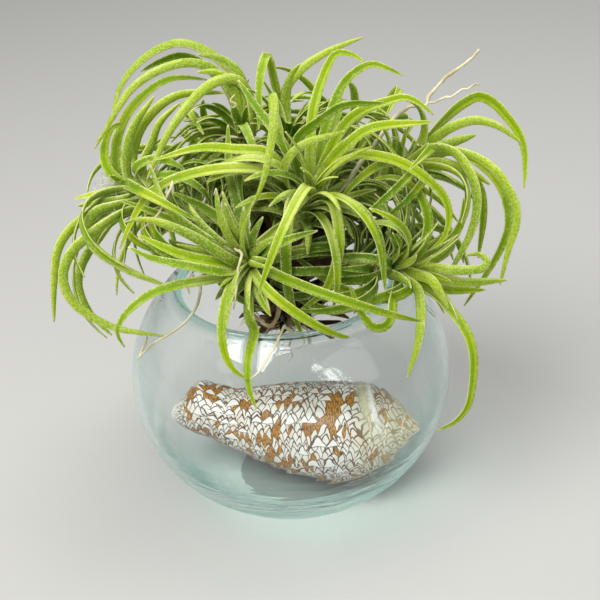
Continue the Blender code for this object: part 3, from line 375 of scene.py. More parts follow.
def turned_widths(path, inward, turn):
    """Width directions of a blade whose face turns partly to the front as it leaves the stem."""
    tangents, widths, faces_up = frames(path, inward)
    if turn == 0:
        return widths, faces_up
    front = np.array((0, -math.cos(SIGHT_TILT), math.sin(SIGHT_TILT)))
    sign = 1.0 if np.mean(faces_up @ front) > 0 else -1.0
    turned = []
    for k, t in enumerate(np.linspace(0, 1, len(path))):
        share = turn * min(1, t * 3) ** 2
        face = faces_up[k] * (1 - share) + sign * front * share
        face = unit(face - tangents[k] * np.dot(face, tangents[k]))
        turned.append(face)
    turned = np.array(turned)
    return np.cross(tangents, turned), turned


def leaf_outline(t, blade):
    """Half width of a leaf at share t of its length, from its blade's share, with its sheath and root."""
    sheath = 0.45 * math.exp(-((t / 0.14) ** 2))
    root = 0.55 + 0.45 * min(1, t / 0.07)
    return LEAF_WIDTH / 2 * (blade + sheath) * root


def leaf_width(t):
    """Broad at the sheath, with a long taper and a fine tip."""
    return leaf_outline(t, 1 - 0.2 * t - 0.66 * t ** 3.4)


def leaf_thick(t):
    return LEAF_THICK * (1.25 - 0.45 * t)


def growth_route(start, axis, spin, lean, curl, length):
    """A leaf that leaves the stem at an angle and curls over, as a short list of points."""
    side, other = cross_ways(axis)
    out = side * math.cos(spin) + other * math.sin(spin)
    pieces = 7
    point = np.array(start)
    route = [point]
    for k in range(pieces):
        angle = lean + curl * ((k + 0.5) / pieces) ** 1.25
        point = point + (axis * math.cos(angle) + out * math.sin(angle)) * length / pieces
        point = point + np.array((0, 0, -0.012)) * length * k / pieces
        route.append(point)
    return route


class Rosette:
    """The stem of one rosette and the leaf routes on it."""

    def __init__(self, name, spec):
        self.name = name
        self.spec = spec
        self.crown = seen(*spec["crown"])
        start = np.array(JUNCTION)
        self.axis = unit(self.crown - start)
        seat = start + self.axis * np.linalg.norm(self.crown - start) * STUB_SHARE
        self.base = seat + self.axis * GAP
        self.stem = self.crown - self.base
        self.leaves = []

    def add(self, path, turn):
        self.leaves.append((path, turn))
        return leaf_samples(path, self.axis, turn)

    def root(self, start, towards):
        """Where a leaf's end is sunk, off the stem's middle on the leaf's own side."""
        out = towards - start
        return start + unit(out - self.axis * np.dot(out, self.axis)) * ROOT_OFFSET

    def stem_point(self, share):
        return self.base + self.stem * share

    def samples(self):
        """Points that stand for the stem when clearances are judged."""
        return np.array([self.stem_point(s) for s in np.linspace(0, 1.1, 12)])

    def grown_path(self, start, spin, lean, curl, length):
        """A leaf by the growth rule, sunk in the stem at its root."""
        route = growth_route(start, self.axis, spin, lean, curl, length)
        return smooth_path([self.root(start, route[1])] + route[1:], PATH_POINTS)


def stations(path):
    """The few points of a path that its bends need."""
    tangents = np.diff(path, axis=0)
    tangents = tangents / np.linalg.norm(tangents, axis=1)[:, None]
    cosines = np.clip(np.sum(tangents[1:] * tangents[:-1], axis=1), -1, 1)
    bend = np.sum(np.arccos(cosines))
    count = int(min(11, max(6, 5 + round(bend / BEND_PER_STATION))))
    return path[np.linspace(0, len(path) - 1, count).round().astype(int)]


def rest_path(rosette, azimuth, hang):
    """A leaf that lies over the bowl's rim with GAP below its keel, and hangs down outside."""
    out = np.array((math.cos(azimuth), math.sin(azimuth), 0))
    up = np.array((0, 0, 1.0))
    along = np.cross(up, out)
    start = rosette.stem_point(0.55)
    lift = 1.0 * MM
    for _ in range(12):
        route = [
            start,
            (start + out * 30 * MM + up * (RIM_Z + 8 * MM - up @ start) * 0.5) * 0.5
            + (out * 30 * MM + up * (RIM_Z + 7 * MM)) * 0.5,
            out * (RIM_RADIUS - RIM_BEAD) + up * (RIM_Z + lift),
            out * (46 * MM + lift * 0.5) + up * (RIM_Z - 4.5 * MM + lift),
            out * (51 * MM + lift) + along * MM + up * (RIM_Z - 0.62 * hang),
            out * (54 * MM + lift) + along * 4 * MM + up * (RIM_Z - hang),
        ]
        path = smooth_path(route, PATH_POINTS)
        few = stations(path)
        _, widths, faces_up = frames(few, rosette.axis)
        keel = []
        for k in range(len(few) - 1):
            for s in np.linspace(0, 1, 8, endpoint=False):
                middle = few[k] * (1 - s) + few[k + 1] * s
                width = widths[k] * (1 - s) + widths[k + 1] * s
                up_face = faces_up[k] * (1 - s) + faces_up[k + 1] * s
                t = (k + s) / (len(few) - 1)
                keel.append(middle - up_face * leaf_thick(t) * 0.6)
                for side in (-1, 1):
                    edge = middle + up_face * leaf_thick(t) * 0.4
                    keel.append(edge + width * side * leaf_width(t))
        room = glass_distance(keel).min()
        if abs(room - GAP * 1.2) < 0.02 * MM:
            break
        lift += GAP * 1.2 - room
    return path


def leaf_samples(path, inward, turn=0):
    """Points over a leaf's face, along its curve and along its straight facets, for clearances."""
    few = stations(path)
    split = np.linspace(0, len(few) - 1, len(few) * 4)
    straight = np.stack([np.interp(split, range(len(few)), few[:, k]) for k in range(3)], 1)
    found = []
    for line in (path, straight):
        widths, _ = turned_widths(line, inward, turn)
        half = np.array([leaf_width(t) for t in np.linspace(0, 1, len(line))])[:, None]
        found += [line - widths * half, line, line + widths * half]
    return np.vstack(found)


def nearest(points, others):
    d = points[:, None, :] - others[None, :, :]
    return math.sqrt(np.min(np.einsum("ijk,ijk->ij", d, d)))


def clearance(samples, name, placed, stems):
    """Smallest distance from a leaf to the other rosettes, their stems and the glass."""
    best = 1.0
    for other, points in placed:
        if other != name:
            low = points.min(axis=0) - 4 * MM
            high = points.max(axis=0) + 4 * MM
            close = samples[np.all((samples > low) & (samples < high), axis=1)]
            if len(close):
                best = min(best, nearest(close, points))
    for other, points in stems:
        if other != name:
            best = min(best, nearest(samples, points) - STEM_RADIUS + LEAF_CLEAR * 0.5)
    glass = glass_distance(samples).min() + LEAF_CLEAR - 0.9 * MM
    return min(best, glass)


def stock_ring(share, side):
    """The woody middle at a share of its height: its middle, its radius and the way out at an angle."""
    foot = np.array(STOCK_FOOT)
    radius = np.interp(share, STOCK_SHARES, STOCK_RADII)
    return foot + (STOCK_TOP - foot) * share, radius, np.array((math.cos(side), math.sin(side), 0))


def root_paths():
    """Centre lines of the dry roots, from their seats on the woody middle, and of the flower stalk."""
    paths = {}
    for name, spec in ROOTS.items():
        share = (spec["height"] * MM - STOCK_FOOT[2]) / (STOCK_TOP[2] - STOCK_FOOT[2])
        middle, radius, out = stock_ring(share, math.radians(spec["side"]))
        seat = middle + out * (radius * 0.97 + GAP)
        lead = seat + out * 2.5 * MM
        paths[name] = (smooth_path([seat, lead] + [seen(*p) for p in spec["route"]], 15), spec["radii"])
    start = np.array(JUNCTION)
    seat = start + (seen(*STALK_SEAT) - start) * STUB_SHARE
    paths["dry_stalk"] = (smooth_path([seat] + [seen(*p) for p in STALK_ROUTE], 14), STALK_RADII)
    paths["dry_stalk_branch"] = (smooth_path([seen(*p) for p in STALK_BRANCH], 6), (0.55, 0.4))
    return paths


def in_dome(points):
    """Whether all points lie in the rounded outline of the clump."""
    return np.all(np.sum(((points - DOME_CENTRE) / DOME_SIZE) ** 2, axis=1) < 1)


def grow():
    """All rosettes with their leaves: the routes first, then leaves by rule where there is room."""
    rosettes = [Rosette(name, spec) for name, spec in ROSETTES.items()]
    stems = [(r.name, r.samples()) for r in rosettes]
    stock = np.array([np.array(JUNCTION) + np.array((0, 0, z)) * MM for z in range(-20, 6, 2)])
    placed = [(name, path) for name, (path, _) in root_paths().items()]
    for rosette in rosettes:
        if "rest" in rosette.spec:
            azimuth, hang = rosette.spec["rest"]
            path = rest_path(rosette, math.radians(azimuth), hang * MM)
            placed.append((rosette.name, rosette.add(path, 0)))
    for rosette in rosettes:
        for index, route in enumerate(rosette.spec["routes"]):
            share = 0.62 + 0.38 * ((index * 0.618 + 0.6) % 1.0)
            start = rosette.stem_point(share)
            best = None
            for nearer in NEARER:
                bent = []
                for k, (across, up, near) in enumerate(route):
                    bent.append(seen(across, up, near + nearer * ((k + 1) / len(route)) ** 1.3))
                path = smooth_path([rosette.root(start, bent[0])] + bent, PATH_POINTS)
                samples = leaf_samples(path, rosette.axis, FACE_TURN)
                room = clearance(samples, rosette.name, placed, stems)
                if best is None or room > best[0]:
                    best = (room, path)
                if room > LEAF_CLEAR:
                    break
            placed.append((rosette.name, rosette.add(best[1], FACE_TURN)))
    draw = random.Random(SEED)
    for rosette in rosettes:
        wanted = rosette.spec["fill"]
        got = 0
        for attempt in range(wanted * LEAF_TRIES):
            if got == wanted:
                break
            spin = attempt * GOLDEN_TURN + draw.uniform(-0.3, 0.3)
            lean = draw.uniform(0.35, 1.2)
            curl = draw.uniform(1.5, 3.3)
            length = draw.uniform(46, 74) * MM
            share = draw.uniform(0.45, 0.98)
            path = rosette.grown_path(rosette.stem_point(share), spin, lean, curl, length)
            samples = leaf_samples(path, rosette.axis)
            low = samples[:, 2].min()
            if low < LOWEST_LEAF or not in_dome(samples):
                continue
            if nearest(samples[len(samples) // 8:], stock) < STOCK_ROOM:
                continue
            if low < RIM_Z - BELOW_RIM and in_bowl(samples, BOWL_ROOM):
                continue
            if clearance(samples, rosette.name, placed, stems) > LEAF_CLEAR:
                placed.append((rosette.name, rosette.add(path, 0)))
                got += 1
    return rosettes


def inner_height(z):
    """The inner surface's height: the wall's ellipsoid, eased into the flat floor."""
    above = z - FLOOR
    return FLOOR + (above + math.hypot(above, FLOOR_SOFTNESS)) / 2


def bowl_profile(low_steps, high_steps, bead_steps, outer_steps):
    """Half section of the glass, from the middle of the inner floor, over the rim, to the foot."""
    inner_rim = math.asin((RIM_Z - RIM_BEAD - BOWL_CENTRE_Z) / INNER_HALF_HEIGHT)
    angles = [(k / low_steps - 1) * math.pi / 2 for k in range(1, low_steps + 1)]
    angles += [inner_rim * k / high_steps for k in range(1, high_steps)]
    points = [(0, inner_height(BOWL_CENTRE_Z - INNER_HALF_HEIGHT))]
    for angle in angles:
        z = BOWL_CENTRE_Z + INNER_HALF_HEIGHT * math.sin(angle)
        points.append((INNER_RADIUS * math.cos(angle), inner_height(z)))
    for k in range(bead_steps + 1):
        angle = math.pi * (1 - k / bead_steps)
        bead_x = RIM_RADIUS - RIM_BEAD + RIM_BEAD * math.cos(angle)
        points.append((bead_x, RIM_Z - RIM_BEAD + RIM_BEAD * math.sin(angle)))
    outer_rim = math.asin((RIM_Z - RIM_BEAD - BOWL_CENTRE_Z) / BOWL_HALF_HEIGHT)
    foot = -math.asin((BOWL_CENTRE_Z - FOOT_ROUND) / BOWL_HALF_HEIGHT)
    for k in range(1, outer_steps + 1):
        angle = outer_rim + (foot - outer_rim) * k / outer_steps
        points.append((BOWL_RADIUS * math.cos(angle), BOWL_CENTRE_Z + BOWL_HALF_HEIGHT * math.sin(angle)))
    points.append((FOOT_RADIUS + 0.4 * MM, 0.35 * MM))
    points.append((FOOT_RADIUS - 0.6 * MM, 0))
    points.append((0, 0))
    return points


def shell_surface(x, turn):
    """Across and down of the shell's surface at distance x and at a share of a turn from the slit."""
    places, radii, drops = [[row[k] * MM for row in SHELL_OUTLINE] for k in range(3)]
    radius = np.interp(x, places, radii)
    drop = np.interp(x, places, drops)
    slit = max(0, 1 - min(turn, 1 - turn) / 0.05)
    ends = min(1, x / (8 * MM)) * max(0, min(1, (SHELL_SUTURE - x) / (5 * MM)))
    radius *= 1 - SLIT_SHARE * slit * ends
    suture = x - SHELL_SUTURE - SUTURE_RUN * turn
    if turn < SUTURE_TURN:
        depth = SUTURE_DEPTH * (1 - turn / SUTURE_TURN) ** 0.7
        radius -= depth * math.exp(-(suture / SUTURE_WIDTH) ** 2)
    if x > SHELL_SHOULDER:
        t = (x - SHELL_SHOULDER) / (SHELL_LENGTH - SHELL_SHOULDER)
        step = (4 * t + turn) % 1.0
        radius *= 1 + 0.09 * (0.5 - step) * min(1, t * 5) * min(1, (1 - t) * 4)
    angle = turn * 2 * math.pi
    return radius * math.cos(angle) - drop, radius * math.sin(angle)


def shell_points(places, sides):
    """Points of the shell's surface, ring by ring from its narrow end along +X."""
    return [Vector((x * MM, *shell_surface(x * MM, k / sides))) for x in places for k in range(sides)]


def inner_room(point):
    """Distance of a point inside the bowl to its inner surface, near enough for resting on it."""
    r = math.hypot(point.x, point.y)
    wall = -skin_distance(r, point.z - BOWL_CENTRE_Z, INNER_RADIUS, INNER_HALF_HEIGHT)
    floor = point.z - FLOOR
    return (wall + floor - math.hypot(wall - floor, FLOOR_SOFTNESS)) / 2


def shell_matrix(tip, apex):
    """Turns the shell's own +X to the line from its narrow end to its apex, with the slit at the front."""
    axis = (apex - tip).normalized()
    side = Vector((0, 0, 1)).cross(axis).normalized()
    top = axis.cross(side)
    c = math.cos(SHELL_SLIT_TURN)
    s = math.sin(SHELL_SLIT_TURN)
    first = side * c + top * s
    second = top * c - side * s
    rows = [(axis[k], first[k], second[k], tip[k]) for k in range(3)]
    return Matrix([*rows, (0, 0, 0, 1)])


def settle(points):
    """The two ends of the shell once it lies in the bowl: its spire goes down first, then the rest."""
    tip = SHELL_TIP.copy()
    apex = SHELL_APEX.copy()
    spire = [p for p in points if p.x > SHELL_LENGTH / 2]
    narrow = [p for p in points if p.x < SHELL_LENGTH / 3]
    for _ in range(4):
        for half, move_tip, move_apex in ((spire, 0, 1), (narrow, 1, 0)):
            low = -12 * MM
            high = 12 * MM
            for _ in range(14):
                drop = Vector((0, 0, -(low + high) / 2))
                place = shell_matrix(tip + drop * move_tip, apex + drop * move_apex)
                if min(inner_room(place @ p) for p in half) > GAP * 1.2:
                    low = -drop.z
                else:
                    high = -drop.z
            tip.z -= low * move_tip
            apex.z -= low * move_apex
    return tip, apex


# Meshes and materials

class Surface:
    """Gathers the tubes or blades of one piece in one mesh, with values at its points."""

    def __init__(self, *keys):
        self.vertices = []
        self.faces = []
        self.values = {key: [] for key in keys}

    def put(self, point, *values):
        self.vertices.append(point)
        for key, value in zip(self.values, values):
            self.values[key].append(value)

    def close(self, rings, n, clockwise=False):
        """Faces over the last rings of n points, closed at both ends."""
        first = len(self.vertices) - rings * n
        end = first + (rings - 1) * n
        for a in range(first, end, n):
            for i in range(n):
                j = (i + 1) % n
                corners = (i, i + n, j + n, j) if clockwise else (i, j, j + n, i + n)
                self.faces.append(tuple(a + k for k in corners))
        start_cap, end_cap = tuple(range(first, first + n)), tuple(range(end, end + n))
        self.faces += [start_cap, end_cap[::-1]] if clockwise else [start_cap[::-1], end_cap]

    def piece(self, name, material, slot, *nodes, place=None):
        """Makes the piece, moved by the matrix place, in the stead of the CAD nodes that it replaces."""
        mesh = bpy.data.meshes.new(name)
        mesh.from_pydata([tuple(v) for v in self.vertices], [], self.faces)
        for key, values in self.values.items():
            layer = mesh.attributes.new(key, "FLOAT", "POINT")
            layer.data.foreach_set("value", np.asarray(values, dtype=np.float32))
        mesh.polygons.foreach_set("use_smooth", [True] * len(mesh.polygons))
        mesh.update()
        if place is not None:
            mesh.transform(place)
        mesh.materials.append(material)
        item = link(name, mesh)
        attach(item, "root")
        if nodes:
            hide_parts(*nodes)


def link(name, data):
    item = bpy.data.objects.new(name, data)
    bpy.context.scene.collection.objects.link(item)
    return item


class Value:
    """An output in a material's graph, so that its sums are written as sums."""

    def __init__(self, graph, socket):
        self.graph = graph
        self.socket = socket

    def __add__(self, other):
        return self.graph.math("ADD", self, other)

    def __sub__(self, other):
        return self.graph.math("SUBTRACT", self, other)

    def __rsub__(self, other):
        return self.graph.math("SUBTRACT", other, self)

    def __mul__(self, other):
        return self.graph.math("MULTIPLY", self, other)

    def __truediv__(self, other):
        return self.graph.math("DIVIDE", self, other)

    def __gt__(self, other):
        return self.graph.math("GREATER_THAN", self, other)

    def __lt__(self, other):
        return self.graph.math("LESS_THAN", self, other)

    def __abs__(self):
        return self.graph.math("ABSOLUTE", self)

    def split(self):
        """The three parts of a vector."""
        node = self.graph.nodes.new("ShaderNodeSeparateXYZ")
        self.graph.put(node.inputs[0], self)
        return [Value(self.graph, socket) for socket in node.outputs]


class Graph:
    """Short ways to add the nodes of a material."""

    def __init__(self, name):
        self.material = bpy.data.materials.new(name)
        self.material.use_nodes = True
        self.nodes = self.material.node_tree.nodes
        self.shader = self.nodes["Principled BSDF"]

    def put(self, socket, value):
        if isinstance(value, Value):
            self.material.node_tree.links.new(value.socket, socket)
        elif socket.type == "RGBA":
            socket.default_value = (*value, 1.0)
        else:
            socket.default_value = value

    def node(self, kind, out, inputs, **settings):
        """The named or numbered output of a new node, with its inputs by name or number."""
        node = self.nodes.new(kind)
        for key, value in settings.items():
            setattr(node, key, value)
        for key, value in inputs.items():
            self.put(node.inputs[key], value)
        return Value(self, node.outputs[out])

    def math(self, operation, *values):
        return self.node("ShaderNodeMath", 0, dict(enumerate(values)), operation=operation)

    def most(self, a, b):
        return self.math("MAXIMUM", a, b)

    def least(self, a, b):
        return self.math("MINIMUM", a, b)

    def attribute(self, name):
        return self.node("ShaderNodeAttribute", "Fac", {}, attribute_name=name)

    def place(self):
        return self.node("ShaderNodeTexCoord", "Object", {})

    def facing_up(self):
        return self.node("ShaderNodeNewGeometry", "Normal", {}).split()[2]

    def noise(self, scale, detail=3.0, rough=0.55, vector=None):
        return self.node("ShaderNodeTexNoise", "Fac", {
            "Scale": scale, "Detail": detail, "Roughness": rough, "Vector": vector or self.place()})

    def combine(self, x, y, z):
        return self.node("ShaderNodeCombineXYZ", 0, {0: x, 1: y, 2: z})

    def white(self, x, y, seed):
        inputs = {"Vector": self.combine(x, y, seed)}
        return self.node("ShaderNodeTexWhiteNoise", "Value", inputs, noise_dimensions="3D")

    def fade(self, value, low, high, out_low=0.0, out_high=1.0):
        inputs = dict(enumerate((value, low, high, out_low, out_high)))
        return self.node("ShaderNodeMapRange", 0, inputs, interpolation_type="SMOOTHSTEP")

    def mix(self, share, a, b):
        return self.node("ShaderNodeMix", 2, {0: share, 6: a, 7: b}, data_type="RGBA")

    def choose(self, share, a, b):
        """a where the share is 0, and b where it is 1."""
        return a * (1.0 - share) + b * share

    def bump(self, height, strength, distance):
        inputs = {"Strength": strength, "Distance": distance, "Height": height}
        return self.node("ShaderNodeBump", 0, inputs)

    def finish(self, colour, roughness, normal=None, **fixed):
        inputs = {"Base Color": colour, "Roughness": roughness, "Normal": normal, **fixed}
        for key, value in inputs.items():
            if value is not None:
                self.put(self.shader.inputs[key.replace("_", " ")], value)
        return self.material


# Finer leaves

def leaf_material():
    """Yellow-green blades with silvery scales at their edges and pale frost near their bases, dry at the
    tip; a painted highlight makes them pale where they face up, and painted shade darkens them inside the
    clump.
    """
    g = Graph("leaf")
    along = g.attribute("along")
    across = abs(g.attribute("across"))
    under = g.attribute("under")
    green = g.mix(g.fade(g.attribute("tone"), 0.1, 1.0), (0.12, 0.23, 0.004), (0.32, 0.46, 0.004))
    yellow = g.mix(g.fade(g.noise(45.0, 2.0, 0.5), 0.5, 0.7, 0.0, 0.6), green, (0.52, 0.62, 0.010))
    # Painted shade: the green darkens deeper inside the clump, where the leaves shade each other.
    painted_shade_inside = g.mix(g.attribute("deep") * 0.85, yellow, (0.055, 0.10, 0.010))
    sheath = g.mix(g.fade(along, 0.02, 0.2, 0.6, 0.0), painted_shade_inside, (0.42, 0.50, 0.14))
    # Painted highlight: the blades turn pale in patches where they face up, as if lit from above; the pale
    # frost near their bases is their own colour.
    top_highlight_and_base_frost = g.fade(g.facing_up(), 0.5, 1.0, 0.0, 0.75) + g.fade(along, 0.1, 0.5, 0.3, 0.0)
    patchy_highlight_and_frost = top_highlight_and_base_frost * g.fade(g.noise(60.0, 2.0, 0.5), 0.42, 0.62)
    highlit_and_frosted = g.mix(patchy_highlight_and_frost, sheath, (0.60, 0.68, 0.17))
    middle = g.mix(g.fade(across, 0.0, 0.3, 0.5, 0.0), highlit_and_frosted, (0.12, 0.24, 0.006))
    flecks = g.fade(g.noise(1500.0, 2.0, 0.65), 0.48, 0.6) * g.fade(under, 0.0, 1.0, 0.12, 0.28)
    dark = g.mix(flecks, middle, (0.11, 0.21, 0.012))
    cover = g.noise(260.0, 3.0, 0.6)
    edge = g.fade(across, 0.3, 0.95) * g.fade(cover, 0.25, 0.6, 0.45, 1.0)
    scaly = g.most(g.most(edge, g.fade(cover, 0.48, 0.75, 0.0, 0.55)), under * 0.38)
    cells = g.node("ShaderNodeTexVoronoi", "Distance", {"Scale": 1500.0, "Vector": g.place()})
    dots = g.fade(cells, 0.62, 0.28) * scaly
    grey = g.mix(under * 0.2, dark, (0.36, 0.45, 0.05))
    silver = g.mix(dots * 0.85, grey, (0.64, 0.72, 0.28))
    fringed = g.fade(across, 0.8, 1.0) * g.fade(cover, 0.3, 0.65, 0.35, 0.95)
    fringe = g.mix(fringed, silver, (0.64, 0.71, 0.29))
    tip = g.mix(g.fade(along, 0.95, 1.0, 0.0, 0.85), fringe, (0.66, 0.62, 0.34))
    ribs = g.math("SINE", g.attribute("across") * 20.0)
    return g.finish(
        tip, g.fade(cover, 0.3, 0.7, 0.45, 0.65), g.bump(dots + ribs * 0.3, 0.35, 0.0001),
        Specular_IOR_Level=0.15, Subsurface_Weight=0.3, Subsurface_Scale=0.002,
        Subsurface_Radius=(0.8, 1.0, 0.12))


def dead_leaf_material():
    """Brown, papery old leaf bases."""
    g = Graph("dead_leaf")
    fibres = g.math("SINE", g.attribute("across") * 26.0 + g.noise(300.0) * 6.0)
    brown = g.mix(g.attribute("tone"), (0.035, 0.018, 0.009), (0.20, 0.11, 0.05))
    streaked = g.mix(g.fade(fibres, 0.0, 1.0, 0.0, 0.45), brown, (0.34, 0.22, 0.12))
    pale = g.mix(g.fade(g.noise(130.0), 0.55, 0.75, 0.0, 0.6), streaked, (0.45, 0.36, 0.22))
    return g.finish(pale, 0.8, g.bump(fibres, 0.5, 0.0002))


def section(half, thick, channel):
    """Cross-section of a blade as (across, up, share across, under), from one edge round to the other."""
    points = []
    for c in SIDE_SHARES:
        points.append((c * half, channel * half * (abs(c) ** 1.6 - 0.45) + thick * 0.5, c, 0))
    for c in reversed(SIDE_SHARES):
        edge = EDGE_SHARE if abs(c) == 1 else 1.0
        up = channel * half * (abs(c) ** 1.6 - 0.45) - thick * 0.5 * edge
        points.append((c * half * UNDER_SHARE, up, c, 1))
    return points


class Blades(Surface):
    """The fine leaves of one piece."""

    def __init__(self):
        super().__init__("along", "across", "tone", "under")

    def add(self, path, inward, turn, tone, width, count, channel=CHANNEL):
        path = smooth_path(list(path[::3]) + [path[-1]], count)
        widths, faces_up = turned_widths(path, inward, turn)
        for k, point in enumerate(path):
            t = k / (count - 1)
            half = max(leaf_outline(t, 1 - 0.1 * t - 0.78 * t ** 4.6) * width, TIP_HALF)
            thick = BLADE_THICK * (1.2 - 0.6 * t)
            deep = channel * (0.6 + 0.8 * t) * min(1, 0.3 + t * 5)
            for a, u, c, under in section(half, thick, deep):
                self.put(point + widths[k] * a + faces_up[k] * u, t, c, tone, under)
        self.close(count, 2 * len(SIDE_SHARES))

    def add_stem(self, rosette, sides=14):
        """The stem under the leaves, with a rounded bud at its end."""
        side, other = cross_ways(rosette.axis)
        spots = [(rosette.stem_point(s), STEM_RADIUS) for s in (0, 0.25, 0.5, 0.75)]
        spots.append((rosette.crown, CROWN_RADIUS))
        spots.append((rosette.crown + rosette.axis * BUD * 0.5, CROWN_RADIUS * 0.7))
        spots.append((rosette.crown + rosette.axis * BUD, 0.4 * MM))
        for middle, radius in spots:
            for i in range(sides):
                angle = -2 * math.pi * i / sides
                out = side * math.cos(angle) + other * math.sin(angle)
                self.put(middle + out * radius, 0.05, 0.0, 0.2, 1.0)
        self.close(len(spots), sides, True)

    def piece(self, name, material, slot, *nodes):
        """Adds how far inside the clump each point lies, from 0 at its rounded outline, for the painted
        shade that darkens the leaves there.
        """
        out = np.linalg.norm((np.array(self.vertices) - DOME_CENTRE) / DOME_SIZE, axis=1)
        self.values["deep"] = np.clip((0.66 - out) / 0.34, 0, 1)
        super().piece(name, material, slot, *nodes)


class Room:
    """Which space the leaves have taken, so that more can be fitted between them."""

    def __init__(self, rosettes):
        self.points = []
        for rosette in rosettes:
            for path, turn in rosette.leaves:
                self.take(rosette.name, leaf_samples(path, rosette.axis, turn))
            self.take(rosette.name, rosette.samples())
        for name, (path, _) in root_paths().items():
            self.take(name, path)
        self.build()

    def take(self, name, samples):
        self.points += [(name, p) for p in samples]

    def build(self):
        self.tree = kdtree.KDTree(len(self.points))
        for index, (_, p) in enumerate(self.points):
            self.tree.insert(p, index)
        self.tree.balance()

    def free(self, name, samples, own_from):
        """Whether the samples keep clear of the other rosettes, and their far part of their own."""
        if glass_distance(samples).min() < GLASS_ROOM:
            return False
        for k, p in enumerate(samples):
            for _, index, distance in self.tree.find_range(p, INNER_ROOM):
                if self.points[index][0] != name or (k > own_from and distance < OWN_ROOM):
                    return False
        return True


def leaf_line(path, inward):
    """A few points over a leaf from its root to its tip, for judging room."""
    few = path[::2]
    widths, _ = turned_widths(few, inward, 0)
    half = np.array([leaf_width(t) for t in np.linspace(0, 1, len(few))])[:, None]
    return np.stack([few - widths * half, few, few + widths * half], 1).reshape(-1, 3)


def more_leaves(rosette, room, draw, wanted, kind):
    """Leaves by the growth rule that find room between the others."""
    found = []
    for attempt in range(wanted * INNER_TRIES):
        if len(found) == wanted:
            break
        spin = attempt * GOLDEN_TURN + draw.uniform(-0.3, 0.3)
        start = rosette.stem_point(draw.uniform(*kind["shares"]))
        lean, curl, length = [draw.uniform(*kind[key]) for key in ("lean", "curl", "length")]
        path = rosette.grown_path(start, spin, lean, curl, length * MM)
        samples = leaf_line(path, rosette.axis)
        spread = np.linalg.norm((samples - DOME_CENTRE) / DOME_SIZE, axis=1).max()
        if samples[:, 2].min() < max(LOWEST_INNER, start[2] - 9 * MM) or spread > kind["widest"]:
            continue
        if room.free(rosette.name, samples, int(len(samples) * kind["own_part"])):
            found.append(path)
            room.take(rosette.name, samples[len(samples) // 4:])
    room.build()
    return found


def make_rosettes(rosettes):
    material = leaf_material()
    draw = random.Random(21)
    room = Room(rosettes)
    for rosette in rosettes:
        blades = Blades()
        for path, turn in rosette.leaves:
            tone = 0.35 + 0.65 * draw.random()
            width = FINE_WIDTH * draw.uniform(0.94, 1.04)
            blades.add(path, rosette.axis, turn * FINE_TURN, tone, width, FINE_STATIONS)
        for kind in MORE_LEAVES:
            wanted = kind["front_count"] if rosette.name in FRONT_ROSETTES else kind["count"]
            low, high = kind["tone"]
            for path in more_leaves(rosette, room, draw, wanted, kind):
                tone = low + (high - low) * draw.random()
                blades.add(path, rosette.axis, 0, tone, kind["width"], kind["stations"])
        blades.add_stem(rosette)
        blades.piece(rosette.name + "_leaves", material, "leaf_green", rosette.name)


# Glass

def glass_material():
    """Clear where it is looked through, green at the outline, the rim and the thick foot."""
    g = Graph("clear_glass")
    x, y, z = g.place().split()
    rings = g.noise(1.0, 2.0, 0.5, g.combine(x * 18.0, y * 18.0, z * 120.0))
    low = g.fade(z, 0.008, 0.05, 1.0, 0.0)
    front = g.fade(y, 0.0, 0.02, 1.0, 0.03)
    facing = g.node("ShaderNodeLayerWeight", "Facing", {"Blend": 0.5})
    streaks = g.fade(rings, 0.38, 0.62, 0.6, 1.1)
    body = g.fade(facing, 0.32, 0.86) * ((low * 0.75 + 0.25) * streaks)
    outline = g.fade(facing, 0.8, 0.99, 0.0, 0.8)
    rim = g.fade(z, RIM_Z - 3 * MM, RIM_Z - 1 * MM) * 0.5
    thick = g.least(g.most(g.most(body, outline), rim), 1.0)
    ripple = (g.noise(20.0, 1.0, 0.4) * 0.4 + rings) * ((low * 0.9 + 0.1) * front)
    g.finish(g.mix(thick, (1.0, 1.0, 1.0), (0.01, 0.38, 0.33)), 0.0, g.bump(ripple, 0.3, 0.004),
             IOR=1.45, Transmission_Weight=1.0)
    rays = g.nodes.new("ShaderNodeLightPath").outputs
    trapped = Value(g, rays["Glossy Depth"]) > 2.5
    clear = g.node("ShaderNodeBsdfTransparent", 0, {"Color": (0.96, 0.985, 0.98)})
    through = g.most(Value(g, rays["Is Shadow Ray"]), trapped)
    shine = Value(g, g.shader.outputs[0])
    glass = g.node("ShaderNodeMixShader", 0, {0: through, 1: shine, 2: clear})
    tint = {"Color": (0.22, 0.80, 0.72), "Density": 18.0}
    inside = g.node("ShaderNodeVolumeAbsorption", 0, tint)
    out = g.nodes["Material Output"]
    g.put(out.inputs["Surface"], glass)
    g.put(out.inputs["Volume"], inside)
    return g.material


def make_bowl(sides=144):
    """The glass turned from the same profile in fine steps, with one point at each end on the axis."""
    bowl = Surface()
    rings = []
    for x, z in bowl_profile(32, 14, 14, 48):
        count = sides if x else 1
        rings.append([len(bowl.vertices) + i for i in range(count)])
        for i in range(count):
            angle = 2 * math.pi * i / sides
            bowl.put((x * math.cos(angle), x * math.sin(angle), z))
    for low, high in zip(rings, rings[1:]):
        for i in range(sides):
            j = (i + 1) % sides
            if len(low) == 1:
                bowl.faces.append((low[0], high[i], high[j]))
            elif len(high) == 1:
                bowl.faces.append((low[j], low[i], high[0]))
            else:
                bowl.faces.append((low[j], low[i], high[i], high[j]))
    bowl.piece("bowl", glass_material(), "clear_glass", "glass_bowl")


# Cone shell

